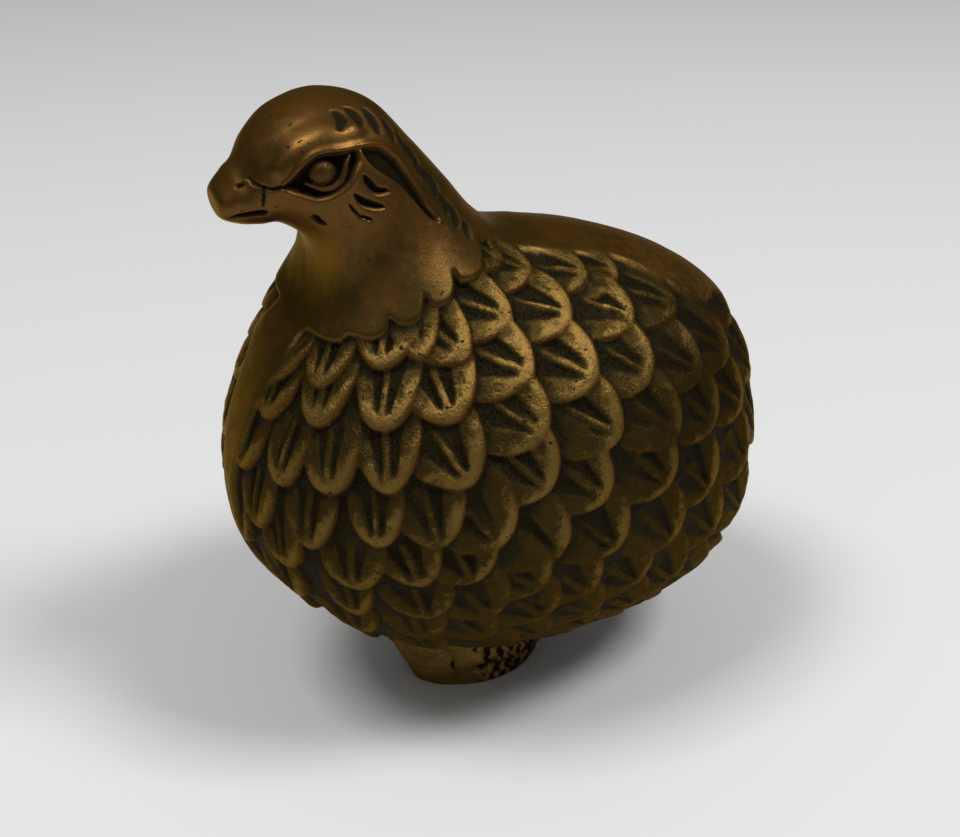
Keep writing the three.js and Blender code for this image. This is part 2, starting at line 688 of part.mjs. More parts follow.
// Height of the belly's skin over a place on the table
function bellyHeight(x, y) {
  return outwards(new THREE.Vector3(x, y, BODY_CENTRE.z), new THREE.Vector3(0, 0, -1)).z;
}

// A place on the foot's outline, drawn in or out from its middle by scale
function onOutline([across, along], scale) {
  const x = (across - 0.5) * FOOT.width * scale;
  const y = -(along - 0.5) * FOOT.length * scale;
  return FOOT_CENTRE.clone().add(new THREE.Vector2(x, y));
}

function footBlank() {
  const rim = SOLE.map((place) => onOutline(place, FOOT.flare));
  const top = Math.max(...rim.map((place) => bellyHeight(place.x, place.y))) + FIT_GAP;
  const levels = [[0, SOLE_SCALE], [FOOT.edge, 1], [top, FOOT.flare]];
  const rings = levels.map(([height, scale]) => SOLE.map((place) => {
    const { x, y } = onOutline(place, scale);
    return new THREE.Vector3(x, y, height);
  }));
  const pole = (height) => new THREE.Vector3(FOOT_CENTRE.x, FOOT_CENTRE.y, height);
  return toSolid(closedRings(rings, pole(0), pole(top)));
}

// An upright notch in the foot's side
function toeGroove(place) {
  const low = onOutline(place, 1);
  const high = onOutline(place, FOOT.flare);
  const start = new THREE.Vector3(low.x, low.y, 0);
  const end = new THREE.Vector3(high.x, high.y, TOE_GROOVE.height);
  const middle = start.clone().lerp(end, 0.5);
  const along = end.sub(start);
  const halfLength = along.length() / 2;
  along.normalize();
  const sideways = new THREE.Vector3(middle.x - FOOT_CENTRE.x, middle.y - FOOT_CENTRE.y, 0);
  const normal = sideways.projectOnPlane(along).normalize();
  const geometry = new THREE.OctahedronGeometry(1);
  geometry.scale(halfLength, TOE_GROOVE.width / 2, TOE_GROOVE.depth);
  geometry.applyMatrix4(new THREE.Matrix4().makeBasis(along, normal.clone().cross(along), normal));
  geometry.translate(middle.x, middle.y, middle.z);
  return toSolid(geometry);
}

// Height of the casting's inner face over the peg
function bellyInside() {
  return bellyHeight(FOOT_CENTRE.x, FOOT_CENTRE.y) + CAVITY_DEPTH;
}

function leftFoot() {
  const belly = bodySolid(-FIT_GAP, BELLY_RINGS, BELLY_FINENESS);
  const peg = footCylinder(PEG.radius, PEG.root, bellyInside() + PEG.proud);
  const grooves = joined(TOE_GROOVES.map(toeGroove));
  return footBlank().subtract(grooves).subtract(belly).add(peg);
}

function leftFootBraze() {
  const full = footCylinder(FOOT_BRAZE.radius, PEG.root, bellyInside() + FOOT_BRAZE.thickness);
  const bore = footCylinder(PEG.radius + FIT_GAP, 0, BODY_CENTRE.z);
  const hollow = bodySolid(CAVITY_DEPTH + FIT_GAP, CAVITY_RINGS, CAVITY_FINENESS);
  return full.subtract(bore).intersect(hollow);
}

// Dark patinated brass of the castings
function castBrass() {
  return new THREE.MeshStandardMaterial({ color: 0x6b5428, roughness: 0.42, metalness: 0.9 });
}

// The feet, rougher and a little darker
function footBrass() {
  return new THREE.MeshStandardMaterial({ color: 0x5d4a26, roughness: 0.55, metalness: 0.85 });
}

// Paler brazing alloy inside
function brazeAlloy() {
  return new THREE.MeshStandardMaterial({ color: 0xa88f55, roughness: 0.5, metalness: 0.9 });
}

function addNode(group, name, geometry, material) {
  geometry.computeVertexNormals();
  const mesh = new THREE.Mesh(geometry, material);
  mesh.name = name;
  group.add(mesh);
}

function addPair(group, name, geometry, material) {
  addNode(group, 'left_' + name, geometry, material());
  addNode(group, 'right_' + name, mirrored(geometry), material());
}

function brassBird() {
  const group = new THREE.Group();
  group.name = 'brass_bird_figurine';
  addPair(group, 'shell', withoutVoids(toGeometry(leftShell())), castBrass);
  addPair(group, 'foot', toGeometry(leftFoot()), footBrass);
  addPair(group, 'foot_braze', toGeometry(leftFootBraze()), brazeAlloy);
  addNode(group, 'seam_braze', toGeometry(seamBraze()), brazeAlloy());
  return group;
}

export default brassBird();
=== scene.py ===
"""Brass bird figurine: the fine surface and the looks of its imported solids.

Shapes are worked out in millimetres and set down in metres. +Z is up, the bird looks along -Y
and its left side is +X. Heights on the skin are in millimetres too: 0 is the smooth skin and the
ground between the feathers lies below it.
"""

import math

import bpy
import numpy as np
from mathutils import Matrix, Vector, noise


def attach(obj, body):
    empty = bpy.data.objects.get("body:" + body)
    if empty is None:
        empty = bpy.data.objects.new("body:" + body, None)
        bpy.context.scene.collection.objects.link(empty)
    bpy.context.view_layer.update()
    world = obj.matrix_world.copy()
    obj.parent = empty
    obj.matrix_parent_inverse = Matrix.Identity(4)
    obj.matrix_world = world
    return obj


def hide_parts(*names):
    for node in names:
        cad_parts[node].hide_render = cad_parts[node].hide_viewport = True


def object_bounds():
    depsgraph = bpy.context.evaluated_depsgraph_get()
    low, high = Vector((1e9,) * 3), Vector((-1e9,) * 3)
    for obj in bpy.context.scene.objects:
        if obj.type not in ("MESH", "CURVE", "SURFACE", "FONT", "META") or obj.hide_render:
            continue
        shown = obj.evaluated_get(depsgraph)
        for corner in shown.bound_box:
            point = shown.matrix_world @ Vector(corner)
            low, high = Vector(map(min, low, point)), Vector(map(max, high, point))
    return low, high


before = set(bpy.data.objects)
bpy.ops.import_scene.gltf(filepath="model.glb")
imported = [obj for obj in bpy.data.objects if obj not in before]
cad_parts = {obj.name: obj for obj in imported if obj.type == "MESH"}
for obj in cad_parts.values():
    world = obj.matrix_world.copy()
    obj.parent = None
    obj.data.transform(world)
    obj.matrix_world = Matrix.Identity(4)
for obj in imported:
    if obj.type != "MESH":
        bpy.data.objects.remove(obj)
CAD_LOW, CAD_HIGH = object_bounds()

# Main sizes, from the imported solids
MM = 0.001
LENGTH = (CAD_HIGH.y - CAD_LOW.y) / MM
WIDTH = (CAD_HIGH.x - CAD_LOW.x) / MM
HEIGHT = (CAD_HIGH.z - CAD_LOW.z) / MM

# Skin: one ring per station, from the beak tip to the end of the rump. Each row holds the top
# and the bottom in the middle plane as [forward of the origin, height], in shares of the length
# and height, then the width as a share of the width, and how far up the ring its widest level is.
STATIONS = np.array(
    [
        [0.479, 0.860, 0.479, 0.860, 0.000, 0.50],  # beak tip
        [0.479, 0.880, 0.473, 0.841, 0.118, 0.50],
        [0.457, 0.905, 0.446, 0.830, 0.171, 0.50],
        [0.440, 0.919, 0.413, 0.826, 0.206, 0.50],  # beak base
        [0.418, 0.949, 0.385, 0.826, 0.265, 0.50],
        [0.374, 0.983, 0.347, 0.802, 0.329, 0.55],
        [0.302, 1.000, 0.330, 0.767, 0.376, 0.58],  # crown
        [0.225, 0.980, 0.341, 0.728, 0.397, 0.56],
        [0.164, 0.924, 0.368, 0.688, 0.426, 0.52],
        [0.108, 0.865, 0.413, 0.649, 0.500, 0.50],  # nape
        [0.059, 0.811, 0.451, 0.590, 0.632, 0.50],
        [0.003, 0.777, 0.485, 0.516, 0.765, 0.50],  # shoulder
        [-0.085, 0.762, 0.501, 0.423, 0.882, 0.50],
        [-0.201, 0.737, 0.479, 0.320, 0.971, 0.50],
        [-0.329, 0.688, 0.402, 0.216, 1.000, 0.50],  # widest
        [-0.423, 0.619, 0.285, 0.128, 0.956, 0.50],
        [-0.478, 0.511, 0.131, 0.079, 0.838, 0.50],  # rump
        [-0.497, 0.388, -0.074, 0.074, 0.676, 0.50],
        [-0.499, 0.290, -0.262, 0.113, 0.456, 0.50],  # tail
        [-0.484, 0.226, -0.412, 0.167, 0.235, 0.50],
        [-0.467, 0.192, -0.467, 0.192, 0.000, 0.50],  # end
    ]
)
LAST_RING = len(STATIONS) - 1
BODY_CENTRE = np.array([0.0, 0.013 * LENGTH, 0.413 * HEIGHT])
SKIN_INSET = 0.2  # keeps the finest swellings inside the solids' box
RELIEF = 1.5  # from the ground between the feathers up to the skin
WALL = 2.6
CAVITY_RINGS = (5.3, 18.3)
LEAST_HALF_WIDTH = 0.02
LINE_STEP, SKIN_STEP = 0.02, 0.01  # small moves that show which way the skin runs

# Mesh: size of a cell along the bird, on the head and on the body, and cells round half a ring
HEAD_CELL = 0.31
BODY_CELL = 0.425
HEAD_ENDS, BODY_STARTS = 8.0, 11.0
CELLS_ROUND = 218
CAVITY_CELLS = (44, 36)

# Feather rows: height angles of the tips at the turns in ROW_KNOTS, seen from the body centre,
# then the turn of each tip from straight ahead
ROW_KNOTS = [10, 57, 95, 140]
FEATHER_ROWS = [
    ([70, 69, 68, 60], [66, 84, 114, 132]),
    ([58, 55, 53.5, 45], [69, 91, 117, 140, 160]),
    ([28, 42, 38, 27], [8, 23, 35, 44, 56, 73, 94, 113, 131, 147, 162, 176]),
    ([19.5, 31, 24, 13], [11, 25, 38, 53, 76, 97, 115, 131, 146, 160, 174]),
    ([9, 17, 10, -4], [7, 19, 31, 43, 59, 75, 92, 112, 130, 147, 161, 175]),
    ([-1, 3, -9, -19], [11, 26, 39, 52, 65, 80, 98, 118, 136, 152, 167]),
    ([-9, -9, -24, -34], [4, 19, 33, 47, 60, 75, 92, 110, 128, 145, 160, 175]),
    ([-20, -22, -36, -47], [14, 30, 47, 62, 78, 97, 117, 137, 156, 174]),
    ([-32, -35, -48, -58], [5, 24, 42, 60, 80, 102, 126, 150, 172]),
    ([-45, -47, -59, -67], [15, 40, 68, 98, 130, 162]),
]
# Length, width, slant, where the outline starts to round in as a share of the length, how full
# it is, share of the depth on its front side, share of the width that each groove may take
BREAST_FEATHER = np.array([15.0, 10.2, 6.0, 0.3, 2.0, 1.0, 0.6])
WING_FEATHER = np.array([15.5, 15.0, 47.0, 0.4, 1.75, 0.55, 0.58])
BREAST_ENDS, WING_STARTS = 35, 75
VARIATION = np.array([0.9, 0.9, 6.0, 0.03, 0.12, 0.2, 0.12])  # one feather against its kind
BREAST_VARIATION = 1.7  # breast feathers differ more than wing feathers by this factor
STRAY = 1.2  # degrees that a tip strays from its place in the row
FEATHER_REACH = 1.3  # how far from its tip a feather is worked out, in lengths
LEAST_SLOPE = 0.12  # of the outline's measure, where a feather's root is flat
FEATHER_RISE = (0.1, 0.9)  # share of the length where the surface starts and ends its climb
FEATHER_CLIMB = 1.2
FEATHER_TILT = 0.28  # each feather's rear side lies over the next feather
STEM_BEND = 0.6  # the most that a feather's root bends to a side
RIM_WIDTH = 2.1
RIM_SPREAD = (0.85, 1.2)
RIM_ROLL = 0.08  # how far the rim stands over the field inside it
FIELD_DIP = 0.04
RIB_WIDTH = 1.4
RIB_SPREAD = (0.75, 1.2)
GROOVE_DEPTH = 0.7
GROOVE_SPREAD = (0.75, 1.1)
GROOVE_STARTS = (0.2, 0.5)
GROOVE_ENDS = 0.86
GROOVE_TAPER = 0.5
EDGE_ROUND = (0.55, -0.35)  # from inside the outline to outside it
EDGE_DROP = RELIEF + 0.2
BELLY = (6, 42)  # heights between which the relief grows to its full depth
BELLY_RELIEF = 0.48
BELLY_LEVEL = -0.5
STIPPLE = (0.12, 0.8)  # height and size of the lumps in the grooves
HAMMERED = (0.11, 1.6)  # of the lumps all over the feathers
SWELLS = (0.07, 9)  # of the slow waves of the whole surface
RIPPLES = (0.03, 2.2)
FINE_CELLS, BROAD_CELLS = 3, 7  # over which the finish tells a high place from a low one

# Smooth parts: the collar's scallops, as runs of (ring, angle)
COLLAR = [
    [(8.45, 180), (8.4, 172), (8.32, 163), (8.25, 157.5)],
    [(8.25, 157.5), (8.52, 145.5), (8.77, 136), (8.97, 128.5), (9.09, 122.5), (9.05, 118)],
    [(9.05, 118), (9.2, 113), (9.36, 108), (9.47, 103.5), (9.49, 99), (9.43, 96.5), (9.32, 95)],
    [(9.32, 95), (9.5, 92), (9.66, 88), (9.73, 83.5), (9.7, 80), (9.62, 77.5), (9.52, 76)],
    [(9.52, 76), (9.68, 75.5), (9.84, 72.5), (9.94, 68.5), (9.96, 64.5), (9.88, 60.5), (9.7, 57.5)],
    [
        (9.7, 57.5),
        (9.9, 57),
        (10.06, 53.5),
        (10.2, 49),
        (10.26, 44),
        (10.2, 39.5),
        (10.1, 35),
        (9.95, 32),
    ],
    [(9.95, 32), (10.12, 30), (10.32, 23.5), (10.5, 16), (10.6, 8), (10.6, 0)],
]
# Half width of the strip on the back by the share of the length forward of the origin, and of
# the one on the breast by the share of the height
BACK_STRIP = [
    (-0.489, 2.8),
    (-0.4, 6),
    (-0.323, 13.4),
    (-0.257, 14),
    (-0.201, 11.2),
    (-0.124, 9.5),
    (0.042, 9),
]
BREAST_STRIP = [(0.157, 1.8), (0.295, 1.8), (0.442, 2.5), (0.541, 4.5), (0.629, 6.4), (0.708, 7)]
NARROW_STRIP = 3  # half width below which a strip's edge keeps straight
STRIP_WANDER = (0.8, 6)  # of a wider strip's edge, and the length of each wave
HOOD_RINGS = (7, 12)  # between which the distance from the collar is measured
HOOD_FAR = 9.0
COLLAR_ROUND = 0.7  # how far inside the collar its edge starts to fall
COLLAR_POWER = 2.2
MARKS_FADE = (0.5, 2.5)  # inside the collar, where the head's marks fade in
STRIP_LEVEL = -0.25
STRIP_SINKS = (0, -6)  # outside the collar, where a strip goes down to its level
STRIP_FADE = 1.6

# Marks on the head as (ring, angle): the angle runs from 0 on top to 180 at the bottom
BROW = [
    (4.18, 82),
    (4.58, 78),
    (5.0, 71),
    (5.35, 66),
    (5.68, 65),
    (6.02, 64),
    (6.4, 59),
    (6.7, 54),
    (7.0, 50),
    (7.3, 48),
    (7.58, 47),
    (7.88, 47),
    (8.2, 48),
    (8.5, 49),
    (8.9, 48),
]
EYE_CORNER = 6  # the point of the brow where the eye ends and the hollow behind it starts
OUTER_LID = [
    (4.2, 86),
    (4.42, 94),
    (4.72, 100),
    (5.1, 104),
    (5.48, 102),
    (5.8, 98),
    (6.1, 92),
    (6.3, 84),
    (6.42, 74),
    (6.48, 67),
    (6.42, 61),
]
INNER_LID = [
    (4.85, 88),
    (5.08, 92),
    (5.35, 95),
    (5.62, 94),
    (5.88, 89),
    (6.02, 81),
    (6.1, 72),
    (6.2, 65),
]
HOLLOW_EDGE = [
    (6.48, 61),
    (6.7, 66),
    (7.05, 66),
    (7.4, 62),
    (7.72, 58),
    (8.05, 56),
    (8.4, 54),
    (8.7, 52),
]
BROW_SWELL = [(4.4, 64), (5.0, 57), (5.6, 52), (6.3, 46)]
EYEBALL = (5.38, 80)
EYEBALL_SIZE = (2.1, 2.2)
NAPE_DASHES = [
    [(6.0, 32), (6.1, 39), (6.0, 48)],
    [(6.3, 28), (6.45, 34), (6.5, 42)],
    [(6.7, 24), (6.82, 32), (6.92, 40)],
    [(7.12, 24), (7.25, 30), (7.35, 36)],
    [(7.48, 24), (7.62, 30), (7.8, 34)],
    [(7.75, 26), (7.95, 30), (8.07, 36)],
    [(8.07, 30), (8.22, 34), (8.38, 34)],
    [(8.3, 30), (8.52, 32), (8.62, 38)],
    [(8.72, 34), (8.9, 36), (8.98, 40)],
    [(9.05, 33), (9.2, 36), (9.3, 40)],
    [(9.48, 32), (9.57, 34), (9.68, 37)],
]
CHEEK_SLITS = [
    [(6.58, 76), (6.72, 78), (7.0, 78), (7.35, 70)],
    [(6.35, 92), (6.65, 92), (6.98, 88), (7.35, 80)],
    [(6.78, 98), (7.1, 94)],
    [(5.08, 116), (5.18, 121), (5.45, 121)],
]
FINE_SLIT = [(6.22, 99), (6.45, 100), (6.75, 99)]
MOUTH = [(1.35, 126), (1.8, 112), (2.42, 108), (3.12, 109)]
NOSTRIL = [(2.3, 50), (2.55, 51)]
BEAK_CREASE = [(3.05, 46), (3.2, 60), (3.45, 72), (3.32, 84), (3.18, 94)]
FRONT_CREASE = [(3.48, 70), (3.82, 80), (4.18, 82)]

# Heights on the head
BROW_LIFT = 0.55
BROW_RIDGE = 0.3
EYE_LEVEL = -1.9
HOLLOW_LEVEL = -1.15
EYEBALL_TOP, EYEBALL_DOME = -0.1, 1.7
LIDS = [(INNER_LID, -0.5, 0.55), (OUTER_LID, 0.1, 0.6)]  # marks, height and radius
LID_FALL = 0.7

# Grooves cut into the head: marks, radii along them and depth
HEAD_CUTS = [(dash, [0.4, 1.2, 1.3, 0.7], 0.34) for dash in NAPE_DASHES]
HEAD_CUTS += [(slit, [0.2, 0.65, 0.75, 0.6, 0.25], 0.8) for slit in CHEEK_SLITS]
HEAD_CUTS += [
    (FINE_SLIT, [0.2, 0.3, 0.2], 0.35),
    (MOUTH, [0.15, 0.35, 0.55, 0.65], 0.8),
    (NOSTRIL, [0.5, 0.4], 0.35),
    (BEAK_CREASE, [0.25, 0.4, 0.3, 0.35, 0.25], 0.35),
    (FRONT_CREASE, [0.25, 0.4, 0.45], 0.35),
]


# Skin of the bird


def curve(a, b, c, d, u):
    """A smooth curve from b at u = 0 to c at u = 1, by their neighbours a and d."""
    square = 2 * a - 5 * b + 4 * c - d
    cube = 3 * b - a - 3 * c + d
    return 0.5 * (2 * b + (c - a) * u + square * u**2 + cube * u**3)


def between(values, ring):
    """Station values at any ring, on a smooth curve through them."""
    i = np.clip(np.floor(ring).astype(int), 0, LAST_RING - 1)
    ends = [2 * values[0] - values[1]], values, [2 * values[-1] - values[-2]]
    row = np.concatenate(ends)
    return curve(*(row[i + k] for k in range(4)), ring - i)


def middle_line(ring, column):
    """The skin's top or bottom line in the middle plane, as forward and height."""
    forward = between(STATIONS[:, column] * LENGTH, ring)
    height = between(STATIONS[:, column + 1] * HEIGHT, ring)
    return np.stack([forward, height], -1)


def inset_line(ring, column, inset):
    step = LINE_STEP
    run = middle_line(ring + step, column) - middle_line(ring - step, column)
    run /= np.maximum(np.linalg.norm(run, axis=-1, keepdims=True), 1e-9)
    inwards = np.stack([-run[..., 1], run[..., 0]], -1) * (1 if column == 0 else -1)
    return middle_line(ring, column) + inwards * inset


def skin(ring, angle, inset=SKIN_INSET):
    """Points on the skin, or on a surface inset millimetres inside it. Angles are in radians."""
    top = inset_line(ring, 0, inset)
    bottom = inset_line(ring, 2, inset)
    half_width = np.maximum(between(STATIONS[:, 4] * WIDTH / 2, ring), 0)
    half_width = np.maximum(half_width - inset, LEAST_HALF_WIDTH)
    middle = bottom + (top - bottom) * between(STATIONS[:, 5], ring)[..., None]
    up = np.cos(angle)[..., None]
    flat = middle + (np.where(up >= 0, top, bottom) - middle) * np.abs(up)
    return np.stack([half_width * np.sin(angle), -flat[..., 0], flat[..., 1]], -1)


def skin_normals(ring, angle):
    """Outward normals. They have no sideways part in the middle plane."""
    step = SKIN_STEP
    along = skin(ring + step, angle) - skin(ring - step, angle)
    round_ring = skin(ring, angle + step) - skin(ring, angle - step)
    normal = np.cross(round_ring, along)
    return normal / np.maximum(np.linalg.norm(normal, axis=-1, keepdims=True), 1e-12)


def ring_places():
    """Rings spaced about one cell apart along the bird."""
    fine = np.linspace(0, LAST_RING, 2001)
    angles = np.linspace(0, math.pi, 41)
    steps = np.diff(skin(fine[:, None], angles[None, :]), axis=0)
    spans = np.linalg.norm(steps, axis=-1)
    middles = (fine[1:] + fine[:-1]) / 2
    cell = np.interp(middles, [HEAD_ENDS, BODY_STARTS], [HEAD_CELL, BODY_CELL])
    count = np.cumsum((spans.mean(1) + spans.max(1)) / 2 / cell)
    return np.interp(np.arange(1, int(count[-1])), count, middles)


def angles_round(rings, cells):
    """Angles that share out half of each ring evenly."""
    fine = np.linspace(0, math.pi, 361)
    points = skin(rings[:, None], fine[None, :])
    spans = np.linalg.norm(np.diff(points, axis=1), axis=-1)
    run = np.concatenate([np.zeros((len(rings), 1)), np.cumsum(spans, axis=1)], 1)
    return np.array([np.interp(np.linspace(0, r[-1], cells + 1), r, fine) for r in run])


RINGS = ring_places()
ANGLES = angles_round(RINGS, CELLS_ROUND)
GRID = ANGLES.shape
RING_OF = np.broadcast_to(RINGS[:, None], GRID).ravel()
ANGLE_OF = ANGLES.ravel()
SKIN = skin(RING_OF, ANGLE_OF)
NORMAL = skin_normals(RING_OF, ANGLE_OF)
FROM_CENTRE = SKIN - BODY_CENTRE
TOWARDS = FROM_CENTRE / np.linalg.norm(FROM_CENTRE, axis=1, keepdims=True)


# Shape helpers

FAR_OFF = 99.0
STROKE_REACH = 4  # how many radii round a stroke are measured


def smooth_step(low, high, value):
    t = np.clip((value - low) / (high - low), 0, 1)
    return t * t * (3 - 2 * t)


def mix(a, b, share):
    return a + (b - a) * share


def lumps(points, size, seed=0.0):
    """Soft noise from about -1 to 1, with lumps about size millimetres across."""
    scaled = points / size + seed * 17.3
    return np.array([noise.noise(Vector(p)) for p in scaled])


def at_mark(mark):
    """A mark's point on the skin and the normal there."""
    ring = np.array(float(mark[0]))
    angle = np.array(math.radians(mark[1]))
    return skin(ring, angle), skin_normals(ring, angle)


def smooth_run(points, per_span=6):
    """More points on a smooth curve through a few."""
    points = np.asarray(points, float)
    if len(points) < 3:
        return points
    first = 2 * points[0] - points[1]
    last = 2 * points[-1] - points[-2]
    row = np.vstack([first, points, last])
    shares = np.arange(per_span) / per_span
    run = [curve(*row[i : i + 4], u) for i in range(len(points) - 1) for u in shares]
    return np.vstack([run, points[-1]])


def from_span(places, p, q):
    """How far each place lies from the line p to q, and the share of the way along it."""
    span = q - p
    share = np.clip((places - p) @ span / max(span @ span, 1e-9), 0, 1)
    return np.linalg.norm(places - (p + share[:, None] * span), axis=1), share


def stroke(marks, radii):
    """How many radii each skin point lies from a stroke along the marks."""
    run = smooth_run([at_mark(m)[0] for m in marks])
    share = np.linspace(0, 1, len(run))
    radius = np.interp(share, np.linspace(0, 1, len(radii)), radii)
    reach = max(radii) * STROKE_REACH
    low, high = run.min(0) - reach, run.max(0) + reach
    near = np.flatnonzero(np.all((SKIN > low) & (SKIN < high), axis=1))
    best = np.full(len(near), FAR_OFF)
    for p, q, r, s in zip(run[:-1], run[1:], radius[:-1], radius[1:]):
        away, u = from_span(SKIN[near], p, q)
        best = np.minimum(best, away / mix(r, s, u))
    measure = np.full(len(SKIN), FAR_OFF)
    measure[near] = best
    return measure


def patch(marks, reach=12):
    """Skin points near some marks, and a flat map of them and of any mark."""
    points = np.array([at_mark(m)[0] for m in marks])
    centre = points.mean(0)
    k = np.argmin(np.linalg.norm(SKIN - centre, axis=1))
    normal = NORMAL[k]
    across = np.cross([0, 0, 1], normal)
    across /= np.linalg.norm(across)
    upwards = np.cross(normal, across)
    near = np.linalg.norm(SKIN - centre, axis=1) < reach
    near = np.flatnonzero(near & (NORMAL @ normal > 0.2))

    def flat(where):
        return np.stack([(where - centre) @ across, (where - centre) @ upwards], -1)

    return near, flat


def depth_inside(places, outline):
    """How far each place lies inside a closed outline; negative outside it."""
    inside = np.zeros(len(places), bool)
    away = np.full(len(places), FAR_OFF)
    for p, q in zip(outline, np.roll(outline, -1, axis=0)):
        away = np.minimum(away, from_span(places, p, q)[0])
        crosses = (p[1] > places[:, 1]) != (q[1] > places[:, 1])
        level = (places[:, 1] - p[1]) / (q[1] - p[1] if q[1] != p[1] else 1e-9)
        inside ^= crosses & (places[:, 0] < p[0] + level * (q[0] - p[0]))
    return np.where(inside, away, -away)


# Feathers


def row_angle(angles, turn):
    """Height angle of a row at a turn, eased between its knots."""
    if turn <= ROW_KNOTS[0]:
        return angles[0]
    if turn >= ROW_KNOTS[-1]:
        return angles[-1]
    i = next(k for k, knot in enumerate(ROW_KNOTS) if knot > turn) - 1
    share = smooth_step(ROW_KNOTS[i], ROW_KNOTS[i + 1], turn)
    return mix(angles[i], angles[i + 1], share)


def tip_place(turn, height_angle, slant):
    """A tip's point on the skin, the normal there, the way it points and the way across."""
    yaw, pitch, lean = (math.radians(v) for v in (turn, height_angle, slant))
    flat = math.cos(pitch)
    ray = np.array([flat * math.sin(yaw), -flat * math.cos(yaw), math.sin(pitch)])
    k = np.argmax(TOWARDS @ ray)
    normal = NORMAL[k]
    down = np.array([0, math.sin(lean), -math.cos(lean)])
    down -= normal * (down @ normal)
    down /= np.linalg.norm(down)
    return SKIN[k], normal, down, np.cross(normal, down)


def inside_feather(along, side, kind):
    """About how far each point lies inside a feather's outline; negative outside it."""
    length, width, _, shoulder, fullness, _, _ = kind
    half, taper = width / 2, (1 - shoulder) * length
    end = np.maximum((along - shoulder) / (1 - shoulder), 0)
    wide = np.abs(side) / half
    spare = 1 - wide**fullness - end**fullness
    slope = np.hypot(wide ** (fullness - 1) / half, end ** (fullness - 1) / taper)
    return np.clip(spare / np.maximum(fullness * slope, LEAST_SLOPE), -3, 4)


def feather_grooves(along, side, inset, kind, rng):
    """Share of the two grooves beside the midrib at each point, how deep, and the rim's roll."""
    half, front, share = kind[1] / 2, kind[5], kind[6]
    rim = RIM_WIDTH * rng.uniform(*RIM_SPREAD)
    rib = RIB_WIDTH / 2 * rng.uniform(*RIB_SPREAD)
    taper = np.clip((GROOVE_ENDS - along) / GROOVE_TAPER, 0, 1) ** 0.8
    reach = (half - rim - rib) * share * taper
    deep = np.where(side < 0, front, 1) * rng.uniform(*GROOVE_SPREAD)
    beside_rib = smooth_step(rib - 0.3, rib + 0.2, np.abs(side))
    within = smooth_step(0.5, -0.4, np.abs(side) - rib - reach)
    within_rim = smooth_step(rim - 0.6, rim + 0.2, inset)
    groove = beside_rib * np.minimum(within, within_rim) * smooth_step(0, 0.4, reach)
    groove *= smooth_step(*GROOVE_STARTS, along)
    roll = RIM_ROLL * np.exp(-(((inset - 0.6 * rim) / (0.7 * rim)) ** 2)) - RIM_ROLL
    roll -= FIELD_DIP * smooth_step(0.8 * rim, 1.6 * rim, inset) * beside_rib
    return groove, deep, roll


def feather(place, kind, rng):
    """Near skin points with the feather's height, groove share and rim share at each."""
    tip, normal, down, across = place
    length, width = kind[:2]
    offset = SKIN - tip
    near = np.linalg.norm(offset, axis=1) < FEATHER_REACH * length
    near = np.flatnonzero(near & (NORMAL @ normal > 0.1))
    offset = offset[near]
    along = 1 + offset @ down / length
    side = offset @ across + rng.uniform(-STEM_BEND, STEM_BEND) * (1 - along) ** 2
    inset = inside_feather(along, side, kind)

    climb = FEATHER_CLIMB * (1 - smooth_step(*FEATHER_RISE, along))
    tilt = FEATHER_TILT * (np.clip(side / (width / 2), -1, 1) - 0.6)
    edge = np.clip((EDGE_ROUND[0] - inset) / (EDGE_ROUND[0] - EDGE_ROUND[1]), 0, 2)
    groove, deep, roll = feather_grooves(along, side, inset, kind, rng)
    height = -climb + tilt + roll - GROOVE_DEPTH * deep * groove - EDGE_DROP * edge**2
    return near, height, groove, smooth_step(1.3, 0.2, inset) * smooth_step(0.35, 0.7, along)


def feathers(rng):
    """Ground and feathers: height, groove share and rim share of every skin point."""
    height = np.full(len(SKIN), -RELIEF)
    groove = np.ones(len(SKIN))
    rim = np.zeros(len(SKIN))
    for angles, turns in FEATHER_ROWS:
        for turn in turns:
            share = smooth_step(BREAST_ENDS, WING_STARTS, turn)
            kind = mix(BREAST_FEATHER, WING_FEATHER, share)
            spread = VARIATION * mix(BREAST_VARIATION, 1, share)
            kind = kind + spread * rng.uniform(-1, 1, len(kind))
            turn_stray, level_stray = STRAY * rng.uniform(-1, 1, 2)
            level = row_angle(angles, turn) + level_stray
            place = tip_place(turn + turn_stray, level, kind[2])
            near, *found = feather(place, kind, rng)
            higher = found[0] > height[near]
            for values, new in zip((height, groove, rim), found):
                values[near[higher]] = new[higher]
    return height, groove, rim


# Smooth parts


def hood_reach():
    """How far each skin point lies inside the hood, measured from its scalloped collar."""
    marks = np.vstack([smooth_run(scallop, 5) for scallop in COLLAR])
    run = skin(marks[:, 0], np.radians(marks[:, 1]))
    near = np.flatnonzero((RING_OF > HOOD_RINGS[0]) & (RING_OF < HOOD_RINGS[1]))
    away = np.full(len(SKIN), HOOD_FAR)
    for p, q in zip(run[:-1], run[1:]):
        away[near] = np.minimum(away[near], from_span(SKIN[near], p, q)[0])
    outline = np.vstack([marks, [(-1, -1), (-1, 181)]])
    places = np.stack([RING_OF, np.degrees(ANGLE_OF)], -1)
    inside = depth_inside(places, outline) > 0
    return np.where(inside, away, -away)


def strip_share():
    """1 on the two strips dressed smooth over the seam, fading to 0 beside them."""
    back = np.interp(-SKIN[:, 1] / LENGTH, *zip(*BACK_STRIP))
    breast = np.interp(SKIN[:, 2] / HEIGHT, *zip(*BREAST_STRIP))
    half = np.where(ANGLE_OF < math.pi / 2, back, breast)
    wander = STRIP_WANDER[0] * lumps(SKIN, STRIP_WANDER[1], 3)
    edge = half + wander * (half > NARROW_STRIP)
    return smooth_step(-STRIP_FADE, STRIP_FADE / 2, edge - np.abs(SKIN[:, 0]))


HOOD = hood_reach()
STRIP = strip_share()


